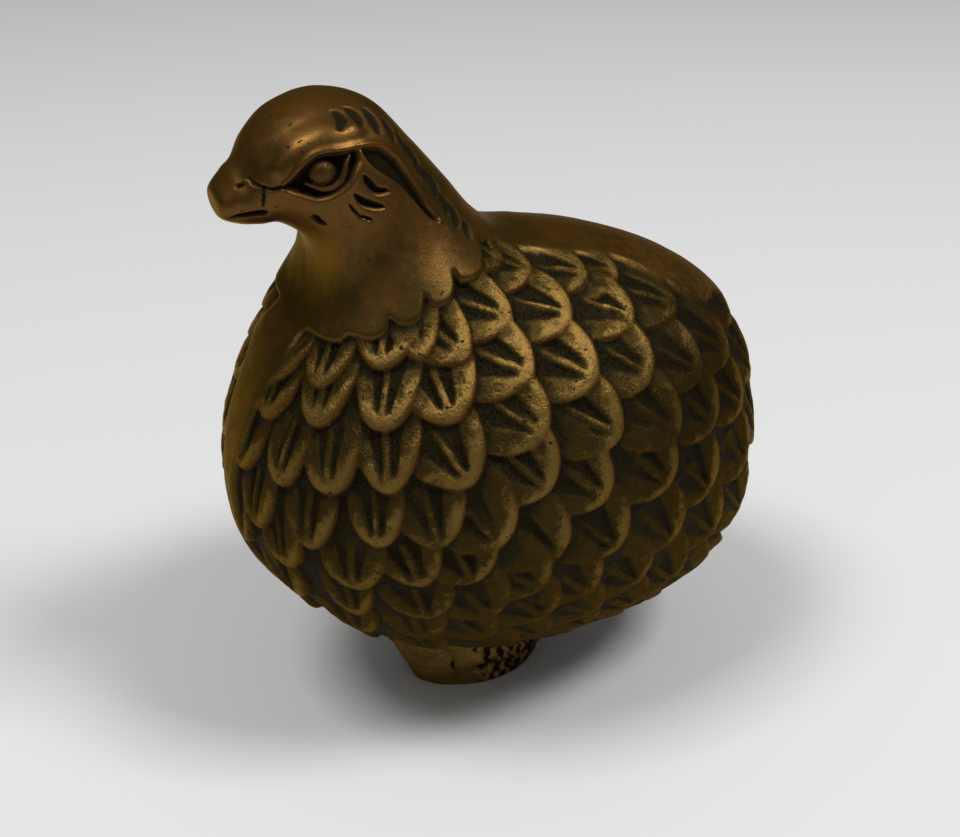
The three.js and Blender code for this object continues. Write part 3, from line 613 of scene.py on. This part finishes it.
def ridge(height, measure, level, fall):
    """Raises a rounded ridge along a stroke."""
    return np.maximum(height, level - fall * measure**2)


def cut_groove(height, measure, depth):
    """Cuts a rounded groove along a stroke."""
    return height - depth * smooth_step(1, 0.25, measure)


def framed(around, upper, lower):
    """Skin points near some marks, their flat map, and their depth inside two runs of marks."""
    near, flat = patch(around)
    outline = [at_mark(m)[0] for m in (*upper, *reversed(lower))]
    return near, flat, depth_inside(flat(SKIN[near]), flat(smooth_run(outline, 4)))


def head_marks():
    """Heights of the head's features on a smooth skin, and how dark each place is with tarnish and
    painted shade.
    """
    height = BROW_LIFT * smooth_step(1, 0, stroke(BROW_SWELL, [2.5, 3.6, 3.6, 2.5]))
    height += BROW_RIDGE * smooth_step(1, 0, stroke(BROW, [0.5, 1.1, 1.2, 1.0, 0.4]))
    tarnish_and_shade = np.zeros(len(SKIN))

    # Socket, eyeball rim, hollow behind the eye and the cut grooves darken with tarnish and painted
    # shade; the lids stay clear
    around = BROW[:EYE_CORNER] + OUTER_LID
    near, flat, inside = framed(around, BROW[: EYE_CORNER + 1], OUTER_LID)
    height[near] = mix(height[near], EYE_LEVEL, smooth_step(-0.1, 0.6, inside))
    tarnish_and_shade[near] = np.maximum(tarnish_and_shade[near], smooth_step(0, 0.5, inside))

    ball = flat(SKIN[near]) - flat(at_mark(EYEBALL)[0])
    spread = np.hypot(ball[:, 0] / EYEBALL_SIZE[0], ball[:, 1] / EYEBALL_SIZE[1])
    dome = EYEBALL_TOP - EYEBALL_DOME * (1 - np.sqrt(np.clip(1 - spread**2, 0, 1)))
    on_ball = (spread < 1) & (dome > height[near])
    height[near] = np.where(on_ball, dome, height[near])
    shade = 0.4 + 0.4 * smooth_step(0.5, 1, spread)
    tarnish_and_shade[near] = np.where(on_ball, shade, tarnish_and_shade[near])

    for marks, level, radius in LIDS:
        measure = stroke(marks, [radius * 0.5, radius, radius, radius, radius * 0.7])
        height = ridge(height, measure, level, LID_FALL)
        tarnish_and_shade *= 1 - 0.8 * smooth_step(1.2, 0.4, measure)

    behind_eye = BROW[EYE_CORNER:]
    near, _, inside = framed(behind_eye + HOLLOW_EDGE, behind_eye, HOLLOW_EDGE)
    cut = smooth_step(-0.1, 0.55, inside)
    height[near] = mix(height[near], HOLLOW_LEVEL, cut)
    tarnish_and_shade[near] = np.maximum(tarnish_and_shade[near], cut)

    for marks, radii, depth in HEAD_CUTS:
        measure = stroke(marks, radii)
        height = cut_groove(height, measure, depth)
        tarnish_and_shade = np.maximum(tarnish_and_shade, smooth_step(1.1, 0.5, measure))
    return height, tarnish_and_shade


HEAD_HEIGHT, HEAD_TARNISH_AND_SHADE = head_marks()


def blurred(values, cells):
    """Values averaged over their neighbours on the skin's grid."""
    grid = values.reshape(GRID)
    weights = np.exp(-0.5 * (np.arange(-2 * cells, 2 * cells + 1) / cells) ** 2)
    weights /= weights.sum()
    for axis in (0, 1):
        pad = [(0, 0), (0, 0)]
        pad[axis] = (2 * cells, 2 * cells)
        padded = np.pad(grid, pad, mode="reflect")
        size = grid.shape[axis]
        slices = (np.take(padded, range(k, k + size), axis=axis) for k in range(len(weights)))
        grid = sum(w * s for w, s in zip(weights, slices))
    return grid.ravel()


def surface(seed):
    """Height of every skin point of one half, and what its finish depends on."""
    rng = np.random.default_rng(seed)
    height, groove, rim = feathers(rng)
    depth = mix(BELLY_RELIEF, 1, smooth_step(*BELLY, SKIN[:, 2]))
    height = mix(BELLY_LEVEL, height, depth)
    height += STIPPLE[0] * groove * lumps(SKIN, STIPPLE[1], seed)
    height += HAMMERED[0] * lumps(SKIN, HAMMERED[1], seed)

    edge = np.clip(COLLAR_ROUND - HOOD, 0, 2)
    hood = -EDGE_DROP * edge**COLLAR_POWER
    on_hood = hood > height
    height = np.maximum(hood, height)
    strip = STRIP_LEVEL * smooth_step(*STRIP_SINKS, HOOD)
    height = mix(height, np.maximum(strip, height * on_hood), STRIP)
    smooth = np.maximum(on_hood * 1.0, STRIP)
    marked = smooth_step(*MARKS_FADE, HOOD)
    height += HEAD_HEIGHT * marked
    height += SWELLS[0] * lumps(SKIN, SWELLS[1], 1) + RIPPLES[0] * lumps(SKIN, RIPPLES[1], 2)
    finish = {
        "groove": groove * (1 - smooth),
        "rim": rim * (1 - smooth),
        "tarnish_and_shade": HEAD_TARNISH_AND_SHADE * marked,
        "smooth": smooth,
        "fine": height - blurred(height, FINE_CELLS),
        "broad": height - blurred(height, BROAD_CELLS),
    }
    return height, finish


# Meshes


def zipper(first, second, points):
    """Triangles that fill the flat band between two runs of vertices."""
    triangles = []
    i = j = 0
    while i < len(first) - 1 or j < len(second) - 1:
        a, b = points[first[i]], points[second[j]]
        on_first = i < len(first) - 1
        if on_first and j < len(second) - 1:
            skip = np.linalg.norm(points[first[i + 1]] - b)
            on_first = skip < np.linalg.norm(points[second[j + 1]] - a)
        if on_first:
            triangles.append((first[i], first[i + 1], second[j]))
            i += 1
        else:
            triangles.append((first[i], second[j + 1], second[j]))
            j += 1
    return triangles


def half_surface(points, poles, start):
    """A grid closed to a pole at each end: its vertices, faces and two edges in the middle."""
    rows, columns = points.shape[:2]
    index = start + np.arange(rows * columns).reshape(rows, columns)
    first, last = start + rows * columns, start + rows * columns + 1
    corners = index[:-1, :-1], index[1:, :-1], index[1:, 1:], index[:-1, 1:]
    faces = np.stack([c.ravel() for c in corners], -1).tolist()
    faces += [(first, index[0, j], index[0, j + 1]) for j in range(columns - 1)]
    faces += [(last, index[-1, j + 1], index[-1, j]) for j in range(columns - 1)]
    vertices = np.vstack([points.reshape(-1, 3), poles])
    top = [first, *index[:, 0], last]
    bottom = [first, *index[:, -1], last]
    return vertices, faces, top, bottom


def turned(faces):
    return [tuple(reversed(face)) for face in faces]


def cavity_points():
    rings = np.linspace(*CAVITY_RINGS, CAVITY_CELLS[0] + 2)
    angles = np.linspace(0, math.pi, CAVITY_CELLS[1] + 1)
    points = skin(rings[1:-1, None], angles[None, :], RELIEF + WALL)
    ends = skin(rings[[0, -1]], np.array([math.pi / 2] * 2), RELIEF + WALL)
    return points, ends * [0, 1, 1]


def shell(name, seed, side):
    """One half casting: the outer surface, the hollow inside and the flat rim between them."""
    height, finish = surface(seed)
    outer = (SKIN + NORMAL * height[:, None]).reshape(*GRID, 3)
    outer[:, [0, -1], 0] = 0
    tips = np.array([outer[0].mean(0), outer[-1].mean(0)]) * [0, 1, 1]
    vertices, faces, top, bottom = half_surface(outer, tips, 0)
    hollow, ends = cavity_points()
    hollow[:, [0, -1], 0] = 0
    inner, inner_faces, inner_top, inner_bottom = half_surface(hollow, ends, len(vertices))
    points = np.vstack([vertices, inner])
    faces += turned(inner_faces) + turned(zipper(top, inner_top, points))
    faces += zipper(bottom, inner_bottom, points)
    if side < 0:
        points, faces = points * [-1, 1, 1], turned(faces)
    piece = add_mesh(name, points, faces)
    mark_sharp(piece.data, [top, bottom, inner_top, inner_bottom])
    for key, values in finish.items():
        padded = np.zeros(len(points))
        padded[: len(values)] = values
        add_values(piece.data, key, padded)
    return piece


def add_mesh(name, points, faces):
    mesh = bpy.data.meshes.new(name)
    mesh.from_pydata((np.asarray(points) * MM).tolist(), [], faces)
    mesh.shade_smooth()
    mesh.update()
    piece = bpy.data.objects.new(name, mesh)
    bpy.context.scene.collection.objects.link(piece)
    return piece


def add_values(mesh, name, values):
    attribute = mesh.attributes.new(name, "FLOAT", "POINT")
    attribute.data.foreach_set("value", np.asarray(values, np.float32))


def mark_sharp(mesh, runs):
    """Keeps the flat rim's edges crisp."""
    ends = np.zeros(len(mesh.edges) * 2, int)
    mesh.edges.foreach_get("vertices", ends)
    ends = np.sort(ends.reshape(-1, 2), axis=1)
    wanted = {tuple(sorted(pair)) for run in runs for pair in zip(run[:-1], run[1:])}
    sharp = np.array([tuple(pair) in wanted for pair in ends.tolist()])
    attribute = mesh.attributes.new("sharp_edge", "BOOLEAN", "EDGE")
    attribute.data.foreach_set("value", sharp)


# Feet

# Outline of a sole from its front end round the outer side to its rear end, as shares of the
# width from the inner side and of the length from the rear end
SOLE = [
    (0, 1),
    (0.35, 0.97),
    (0.66, 0.86),
    (0.875, 0.71),
    (1, 0.52),
    (0.925, 0.32),
    (0.7, 0.15),
    (0.375, 0.04),
    (0, 0),
]
FOOT_LENGTH, FOOT_WIDTH = 25, 8
FOOT_MIDDLE = np.array([5.6, -5.7])
FOOT_TOP = 12.5
FOOT_CELLS = (46, 150)
FOOT_SCALE = [(0, 0.87), (0.35, 0.91), (0.9, 0.94), (4.5, 1.06), (FOOT_TOP, 1.26)]  # by height
SOLE_LEVELS = [0, 0.12, 0.35]  # closer together, where the sole's edge rounds
FOOT_LUMPS = [(0.7, 4), (0.4, 1.5), (0.2, 0.7)]  # heights and sizes
ROUGH_FROM = (-12, -6)  # the finer lumps are weaker on the toes, in front of here
TOE_CLEFTS = (0.06, 0.17, 0.47)  # shares of the way round
CLEFT_DEPTH = 0.5
PIT_PLACE, PIT_SIZE, PIT_DEPTH = (-7.5, 3.6), (2.6, 1.5), 1.1


def foot_outline():
    """Evenly spaced points round the sole."""
    corners = np.array([(x - 0.5, 0.5 - y) for x, y in SOLE]) * [FOOT_WIDTH, FOOT_LENGTH]
    loop = smooth_run(corners, 8)
    loop = np.vstack([loop, mix(loop[-1], loop[0], np.linspace(0, 1, 26)[1:-1, None])])
    spans = np.linalg.norm(np.roll(loop, -1, axis=0) - loop, axis=1)
    run = np.concatenate([[0], np.cumsum(spans)])
    closed = np.vstack([loop, loop[0]])
    places = np.linspace(0, run[-1], FOOT_CELLS[1], endpoint=False)
    return np.stack([np.interp(places, run, closed[:, k]) for k in (0, 1)], -1)


def foot_moves(points, outline, seed):
    """How far each point moves outwards: lumps, the clefts between the toes, and a pit."""
    coarse, medium, small = (h * lumps(points, s, seed + k) for k, (h, s) in enumerate(FOOT_LUMPS))
    rough = mix(0.3, 1, smooth_step(*ROUGH_FROM, points[:, 1]))
    ease = smooth_step(0, 0.8, points[:, 2])
    move = (coarse + rough * (medium + small)) * ease
    bearing = np.arctan2(*(points[:, :2] - FOOT_MIDDLE).T[::-1])
    for share in TOE_CLEFTS:
        x, y = outline[int(share * len(outline))]
        ray = math.atan2(y, x)
        away = np.abs((bearing - ray + math.pi) % (2 * math.pi) - math.pi) * FOOT_WIDTH
        cleft = smooth_step(1.1, 0, away) * smooth_step(9, 6, points[:, 2])
        move -= CLEFT_DEPTH * ease * cleft
    pit = np.hypot(*((points[:, k + 1] - PIT_PLACE[k]) / PIT_SIZE[k] for k in (0, 1)))
    return move - PIT_DEPTH * smooth_step(1, 0, pit) * (points[:, 0] > FOOT_MIDDLE[0])


def foot(name, seed, side):
    """One foot: a lump flared up to the belly, with toes, as a fine closed mesh."""
    outline = foot_outline()
    rows, columns = FOOT_CELLS
    above_sole = np.linspace(0.7, FOOT_TOP, rows - len(SOLE_LEVELS))
    levels = np.concatenate([SOLE_LEVELS, above_sole])
    scale = np.interp(levels, *zip(*FOOT_SCALE))
    points = np.zeros((rows, columns, 3))
    points[..., :2] = FOOT_MIDDLE + outline[None] * scale[:, None, None]
    points[..., 2] = levels[:, None]
    move = foot_moves(points.reshape(-1, 3), outline, seed)
    outwards = outline / np.linalg.norm(outline, axis=1, keepdims=True)
    points[..., :2] += outwards[None] * move.reshape(rows, columns, 1)
    index = np.arange(rows * columns).reshape(rows, columns)
    beside = np.roll(index, -1, axis=1)
    corners = index[1:], beside[1:], beside[:-1], index[:-1]
    faces = np.stack([c.ravel() for c in corners], -1).tolist()
    faces += [tuple(index[0]), tuple(reversed(index[-1]))]
    vertices = points.reshape(-1, 3)
    if side < 0:
        vertices, faces = vertices * [-1, 1, 1], turned(faces)
    piece = add_mesh(name, vertices, faces)
    for face in piece.data.polygons[-2:]:
        face.use_smooth = False
    add_values(piece.data, "fine", move - np.convolve(move, np.ones(5) / 5, "same"))
    return piece


# Materials


def add_node(tree, kind, inputs=None, **settings):
    made = tree.nodes.new(kind)
    for key, value in settings.items():
        setattr(made, key, value)
    for key, value in (inputs or {}).items():
        link(tree, value, made.inputs[key])
    return made


def new_material(name):
    material = bpy.data.materials.new(name)
    material.use_nodes = True
    material.node_tree.nodes.clear()
    return material, material.node_tree


def link(tree, value, socket):
    """Joins a socket to another one, or sets its plain value."""
    if isinstance(value, bpy.types.NodeSocket):
        tree.links.new(value, socket)
    else:
        socket.default_value = value


def times(tree, a, b):
    return add_node(tree, "ShaderNodeMath", {0: a, 1: b}, operation="MULTIPLY").outputs[0]


def stepped(tree, value, low, high, to_low=0.0, to_high=1.0):
    """A smooth step of a socket between two values."""
    inputs = {"Value": value, "From Min": low, "From Max": high}
    inputs |= {"To Min": to_low, "To Max": to_high}
    return add_node(tree, "ShaderNodeMapRange", inputs, interpolation_type="SMOOTHSTEP").outputs[0]


def mixed(tree, share, a, b):
    """Two colours mixed by a share."""
    inputs = {0: share, 6: a, 7: b}
    return add_node(tree, "ShaderNodeMix", inputs, data_type="RGBA").outputs[2]


def weighted(tree, *terms, offset=0.0):
    """A sum of sockets, each times its weight."""
    total = offset
    for socket, weight in terms:
        inputs = {0: socket, 1: weight, 2: total}
        total = add_node(tree, "ShaderNodeMath", inputs, operation="MULTIPLY_ADD").outputs[0]
    return total


def value_of(tree, name):
    return add_node(tree, "ShaderNodeAttribute", attribute_name=name).outputs["Fac"]


def place_of(tree):
    """Sockets of a point's place: sideways, towards the rear and up."""
    where = add_node(tree, "ShaderNodeTexCoord").outputs["Object"]
    return add_node(tree, "ShaderNodeSeparateXYZ", {0: where}).outputs


def show(tree, looks, height, bump):
    """Sends a surface to the material's output, with bumps of a height, strength and size."""
    strength, distance = bump
    inputs = {"Strength": strength, "Distance": distance * MM, "Height": height}
    normal = add_node(tree, "ShaderNodeBump", inputs).outputs[0]
    shader = add_node(tree, "ShaderNodeBsdfPrincipled", looks | {"Normal": normal})
    add_node(tree, "ShaderNodeOutputMaterial", {"Surface": shader.outputs[0]})


def grain(tree, size, detail=3.0, rough=0.6):
    """Noise with lumps about size millimetres across."""
    where = add_node(tree, "ShaderNodeTexCoord").outputs["Object"]
    inputs = {"Vector": where, "Scale": 1 / (size * MM), "Detail": detail, "Roughness": rough}
    return add_node(tree, "ShaderNodeTexNoise", inputs).outputs[0]


def colour(*screen):
    """A linear colour from the 0 to 255 values of a screen colour."""
    linear = [((c / 255 + 0.055) / 1.055) ** 2.4 if c > 10 else c / 255 / 12.92 for c in screen]
    return (*linear, 1)


PATINA = colour(36, 31, 15)
# Soot for dark patina, and for painted shade in valleys, in pits and at the upper rear
SOOT_AND_SHADE = colour(13, 11, 7)
OLIVE_BRASS = colour(63, 49, 21)
# Pale brass for wear, for painted highlights on the crests and for painted light on the feet
WORN_AND_LIT_BRASS = colour(126, 99, 50)
BROWN_BRASS = colour(99, 69, 34)
HOOD_BRASS = colour(76, 60, 28)
RED_BROWN = colour(86, 55, 24)
TINT = colour(235, 205, 150)
BRAZE_DARK = colour(150, 126, 78)
BRAZE_PALE = colour(196, 172, 112)

# A low tinted sheen, so that pale surroundings don't wash the brass out
SHEEN = {"Specular IOR Level": 0.15, "Specular Tint": TINT}

# Size of the lumps in millimetres and levels of detail
CLOUD = (9, 3)
MOTTLE = (1.3, 5)
SPECK = (0.35, 3)
BLUSH = (0.6, 4)
PITS = (0.8, 2)


def feather_metal(tree, crest_wear_and_highlight, rim):
    """Olive brass, brighter on the crests with wear and painted highlights, and redder along the
    rims.
    """
    metal = mixed(tree, crest_wear_and_highlight, OLIVE_BRASS, WORN_AND_LIT_BRASS)
    return mixed(tree, times(tree, rim, 0.85), metal, RED_BROWN)


def smooth_metal(tree, cloud, mottle):
    """Brown brass on the crown and back, more olive lower down on the hood."""
    _, along, up = place_of(tree)
    behind = stepped(tree, along, 0, 10 * MM)
    terms = (cloud, 1), (mottle, 0.4), (up, -0.006 / MM), (behind, -0.12)
    low = weighted(tree, *terms, offset=0.25)
    return mixed(tree, stepped(tree, low, 0.34, 0.6), BROWN_BRASS, HOOD_BRASS)


def red_blush(tree, cloud):
    """Share of the small reddish spots on the smooth parts."""
    spots = weighted(tree, (grain(tree, *BLUSH), 1), (cloud, 0.5))
    return stepped(tree, spots, 0.84, 0.94, 0.0, 0.6)


def dirt_and_shade_colour(tree, raised, speck, tarnish_and_shade):
    """Patina on the valleys' sides, soot with painted shade at their bottom, and more soot where
    the head is tarnished and shaded.
    """
    dirt = mixed(tree, stepped(tree, raised, -1.3, -0.2), SOOT_AND_SHADE, PATINA)
    dirt = mixed(tree, stepped(tree, speck, 0.42, 0.62), dirt, PATINA)
    return mixed(tree, times(tree, tarnish_and_shade, 0.6), dirt, SOOT_AND_SHADE)


def bare_share(tree, worn, tarnish_and_shade, cloud):
    """Where the metal shows: worn places clear of tarnish and painted shade, except in small pits.
    """
    pits = weighted(tree, (grain(tree, *PITS), 1), (cloud, -0.3), offset=0.15)
    settings = {"operation": "SUBTRACT", "use_clamp": True}
    clear = add_node(tree, "ShaderNodeMath", {0: 1.0, 1: tarnish_and_shade}, **settings).outputs[0]
    return times(tree, times(tree, worn, clear), stepped(tree, pits, 0.29, 0.35))


def cast_brass():
    """Patina left in the valleys with painted shade, olive brass on the feathers with painted
    highlights and painted shade low and at the rear, brown brass where it is smooth.
    """
    material, tree = new_material("aged cast brass")
    fine, broad, groove = (value_of(tree, k) for k in ("fine", "broad", "groove"))
    smooth, tarnish_and_shade, rim = (value_of(tree, k) for k in ("smooth", "tarnish_and_shade", "rim"))
    cloud, mottle, speck = (grain(tree, *kind) for kind in (CLOUD, MOTTLE, SPECK))
    _, along, up = place_of(tree)

    # Handling wear and painted light brighten the upper parts, less so towards the rear, which gets
    # painted shade
    rear = stepped(tree, along, -4 * MM, 28 * MM)
    upper_rear_shade = times(tree, rear, stepped(tree, up, 32 * MM, 46 * MM))
    handled_and_lit = weighted(tree, (up, 1 / MM), (cloud, 22), (rear, -32))
    handled_and_lit = stepped(tree, handled_and_lit, 42, 80)

    # High places are worn bright, and low ones keep their dirt and get painted shade
    terms = (fine, 1.4), (broad, 1.5), (mottle, 1.3), (speck, 0.8), (groove, -0.75)
    raised = weighted(tree, *terms, offset=-1.06)
    raised = weighted(tree, (smooth, 0.4), (raised, 1))
    worn = stepped(tree, raised, -0.8, 0.0)
    # Worn brass on the crests stands for wear and for a painted highlight, strongest on the upper
    # parts
    crest_wear_and_highlight = weighted(tree, (handled_and_lit, 0.6), (raised, 1), offset=-0.6)
    crest_wear_and_highlight = stepped(tree, crest_wear_and_highlight, 0.08, 0.85)
    bare = bare_share(tree, worn, tarnish_and_shade, cloud)

    metal = mixed(tree, smooth, feather_metal(tree, crest_wear_and_highlight, rim), smooth_metal(tree, cloud, mottle))
    metal = mixed(tree, times(tree, smooth, red_blush(tree, cloud)), metal, RED_BROWN)
    base = mixed(tree, bare, dirt_and_shade_colour(tree, raised, speck, tarnish_and_shade), metal)
    # Away from the bright upper parts and the smooth parts, the feathers are dulled halfway to
    # patina as painted shade, and halfway to soot at the upper rear
    dull_and_shaded = mixed(tree, 0.5, base, mixed(tree, upper_rear_shade, PATINA, SOOT_AND_SHADE))
    kept = add_node(tree, "ShaderNodeMath", {0: handled_and_lit, 1: smooth}, operation="MAXIMUM")
    base = mixed(tree, kept.outputs[0], dull_and_shaded, base)

    # The grooves are stippled, the smooth parts hardly
    rough = weighted(tree, (groove, 0.6), (smooth, -0.55), offset=0.65)
    uneven = weighted(tree, (smooth, -0.45), offset=0.55)
    stipple = weighted(tree, (times(tree, mottle, uneven), 1), (times(tree, speck, rough), 1))
    gloss = weighted(tree, (crest_wear_and_highlight, 0.3), (handled_and_lit, 0.25), (mottle, 0.9))
    looks = {
        "Base Color": base,
        "Metallic": stepped(tree, bare, 0, 1, 0.35, 0.9),
        "Roughness": stepped(tree, times(tree, bare, gloss), 0, 0.8, 0.72, 0.38),
    }
    show(tree, looks | SHEEN, stipple, (0.8, 0.32))
    return material


def foot_brass():
    """Rough casting, dark in its pits with patina and painted shade, and cleaner on the toes; its
    pale brass is painted light on a foot that the belly shades.
    """
    material, tree = new_material("rough foot brass")
    mottle, speck = grain(tree, 1.6, 6), grain(tree, 0.4, 3)
    toes = stepped(tree, place_of(tree)[1], -11 * MM, -6 * MM, 0.35, -0.05)
    terms = (value_of(tree, "fine"), 2.5), (mottle, 1.2), (toes, 1)
    share = stepped(tree, weighted(tree, *terms, offset=-0.04), 0.38, 0.66)
    looks = {
        # Pale worn brass is painted light on the shaded foot; soot and painted shade fill its pits
        "Base Color": mixed(tree, share, SOOT_AND_SHADE, WORN_AND_LIT_BRASS),
        "Metallic": stepped(tree, share, 0, 1, 0.35, 0.9),
        "Roughness": stepped(tree, share, 0, 1, 0.65, 0.45),
    }
    show(tree, looks | SHEEN, speck, (0.8, 0.35))
    return material


def braze_alloy():
    """Paler alloy, as it ran."""
    material, tree = new_material("poured braze")
    ripple = grain(tree, 2.5, 4)
    looks = {
        "Base Color": mixed(tree, ripple, BRAZE_DARK, BRAZE_PALE),
        "Metallic": 0.9,
        "Roughness": stepped(tree, ripple, 0.3, 0.7, 0.35, 0.55),
    }
    show(tree, looks, ripple, (0.5, 0.3))
    return material


# Dressing the frame

BRASS, FOOT_BRASS, BRAZE = cast_brass(), foot_brass(), braze_alloy()


def dress(piece, material, node):
    piece.data.materials.append(material)
    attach(piece, "root")
    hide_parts(node)


dress(shell("left_casting", seed=3, side=1), BRASS, "left_shell")
dress(shell("right_casting", seed=8, side=-1), BRASS, "right_shell")
dress(foot("left_foot_casting", seed=21, side=1), FOOT_BRASS, "left_foot")
dress(foot("right_foot_casting", seed=34, side=-1), FOOT_BRASS, "right_foot")
for name in ("seam_braze", "left_foot_braze", "right_foot_braze"):
    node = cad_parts[name]
    node.data.materials.clear()
    node.data.materials.append(BRAZE)


# Floor, light and camera

FLOOR_SIZE = 6
FLOOR_GREY = colour(216, 217, 216)
SKY_LEVELS = (0.05, 0.32)  # at the horizon and overhead
CAMERA_YAW, CAMERA_RISE = math.radians(24), math.radians(28)
CAMERA_DISTANCE = 214.7 * MM
CAMERA_TARGET = Vector((0, -3.4, 45.8)) * MM
LENS = 50


def floor():
    bpy.ops.mesh.primitive_plane_add(size=FLOOR_SIZE, location=(0, 0, 0))
    plane = bpy.context.object
    plane.name = "floor"
    material, tree = new_material("floor")
    looks = {"Base Color": FLOOR_GREY, "Roughness": 0.6}
    shader = add_node(tree, "ShaderNodeBsdfPrincipled", looks)
    add_node(tree, "ShaderNodeOutputMaterial", {"Surface": shader.outputs[0]})
    plane.data.materials.append(material)


def area_light(name, towards, distance, size, watts):
    """A soft square light that faces the bird from a direction."""
    lamp = bpy.data.lights.new(name, "AREA")
    lamp.size = size
    lamp.energy = watts
    holder = bpy.data.objects.new(name, lamp)
    bpy.context.scene.collection.objects.link(holder)
    direction = Vector(towards).normalized()
    target = Vector((0, 0, HEIGHT / 2 * MM))
    holder.location = target + direction * distance
    holder.rotation_euler = direction.to_track_quat("Z", "Y").to_euler()


def sky():
    """Soft light all round, darker towards the horizon."""
    world = bpy.data.worlds.new("studio")
    bpy.context.scene.world = world
    world.use_nodes = True
    tree = world.node_tree
    tree.nodes.clear()
    where = add_node(tree, "ShaderNodeTexCoord").outputs["Generated"]
    up = add_node(tree, "ShaderNodeSeparateXYZ", {0: where}).outputs[2]
    level = stepped(tree, up, -0.1, 0.9, *SKY_LEVELS)
    background = add_node(tree, "ShaderNodeBackground", {"Color": (1, 1, 1, 1), "Strength": level})
    add_node(tree, "ShaderNodeOutputWorld", {"Surface": background.outputs[0]})


def camera():
    flat = math.cos(CAMERA_RISE)
    back = (flat * math.cos(CAMERA_YAW), -flat * math.sin(CAMERA_YAW), math.sin(CAMERA_RISE))
    lens = bpy.data.cameras.new("camera")
    lens.lens = LENS
    lens.sensor_width = 36
    lens.clip_start = 0.01
    holder = bpy.data.objects.new("camera", lens)
    bpy.context.scene.collection.objects.link(holder)
    holder.location = CAMERA_TARGET + Vector(back) * CAMERA_DISTANCE
    holder.rotation_euler = Vector(back).to_track_quat("Z", "Y").to_euler()
    bpy.context.scene.camera = holder


floor()
sky()
area_light("overhead", towards=(0.05, -0.42, 0.91), distance=1.2, size=0.4, watts=7.6)
area_light("behind", towards=(0.36, 0.4, 0.84), distance=1.2, size=0.35, watts=8.8)
camera()
bpy.context.scene.view_settings.view_transform = "Standard"
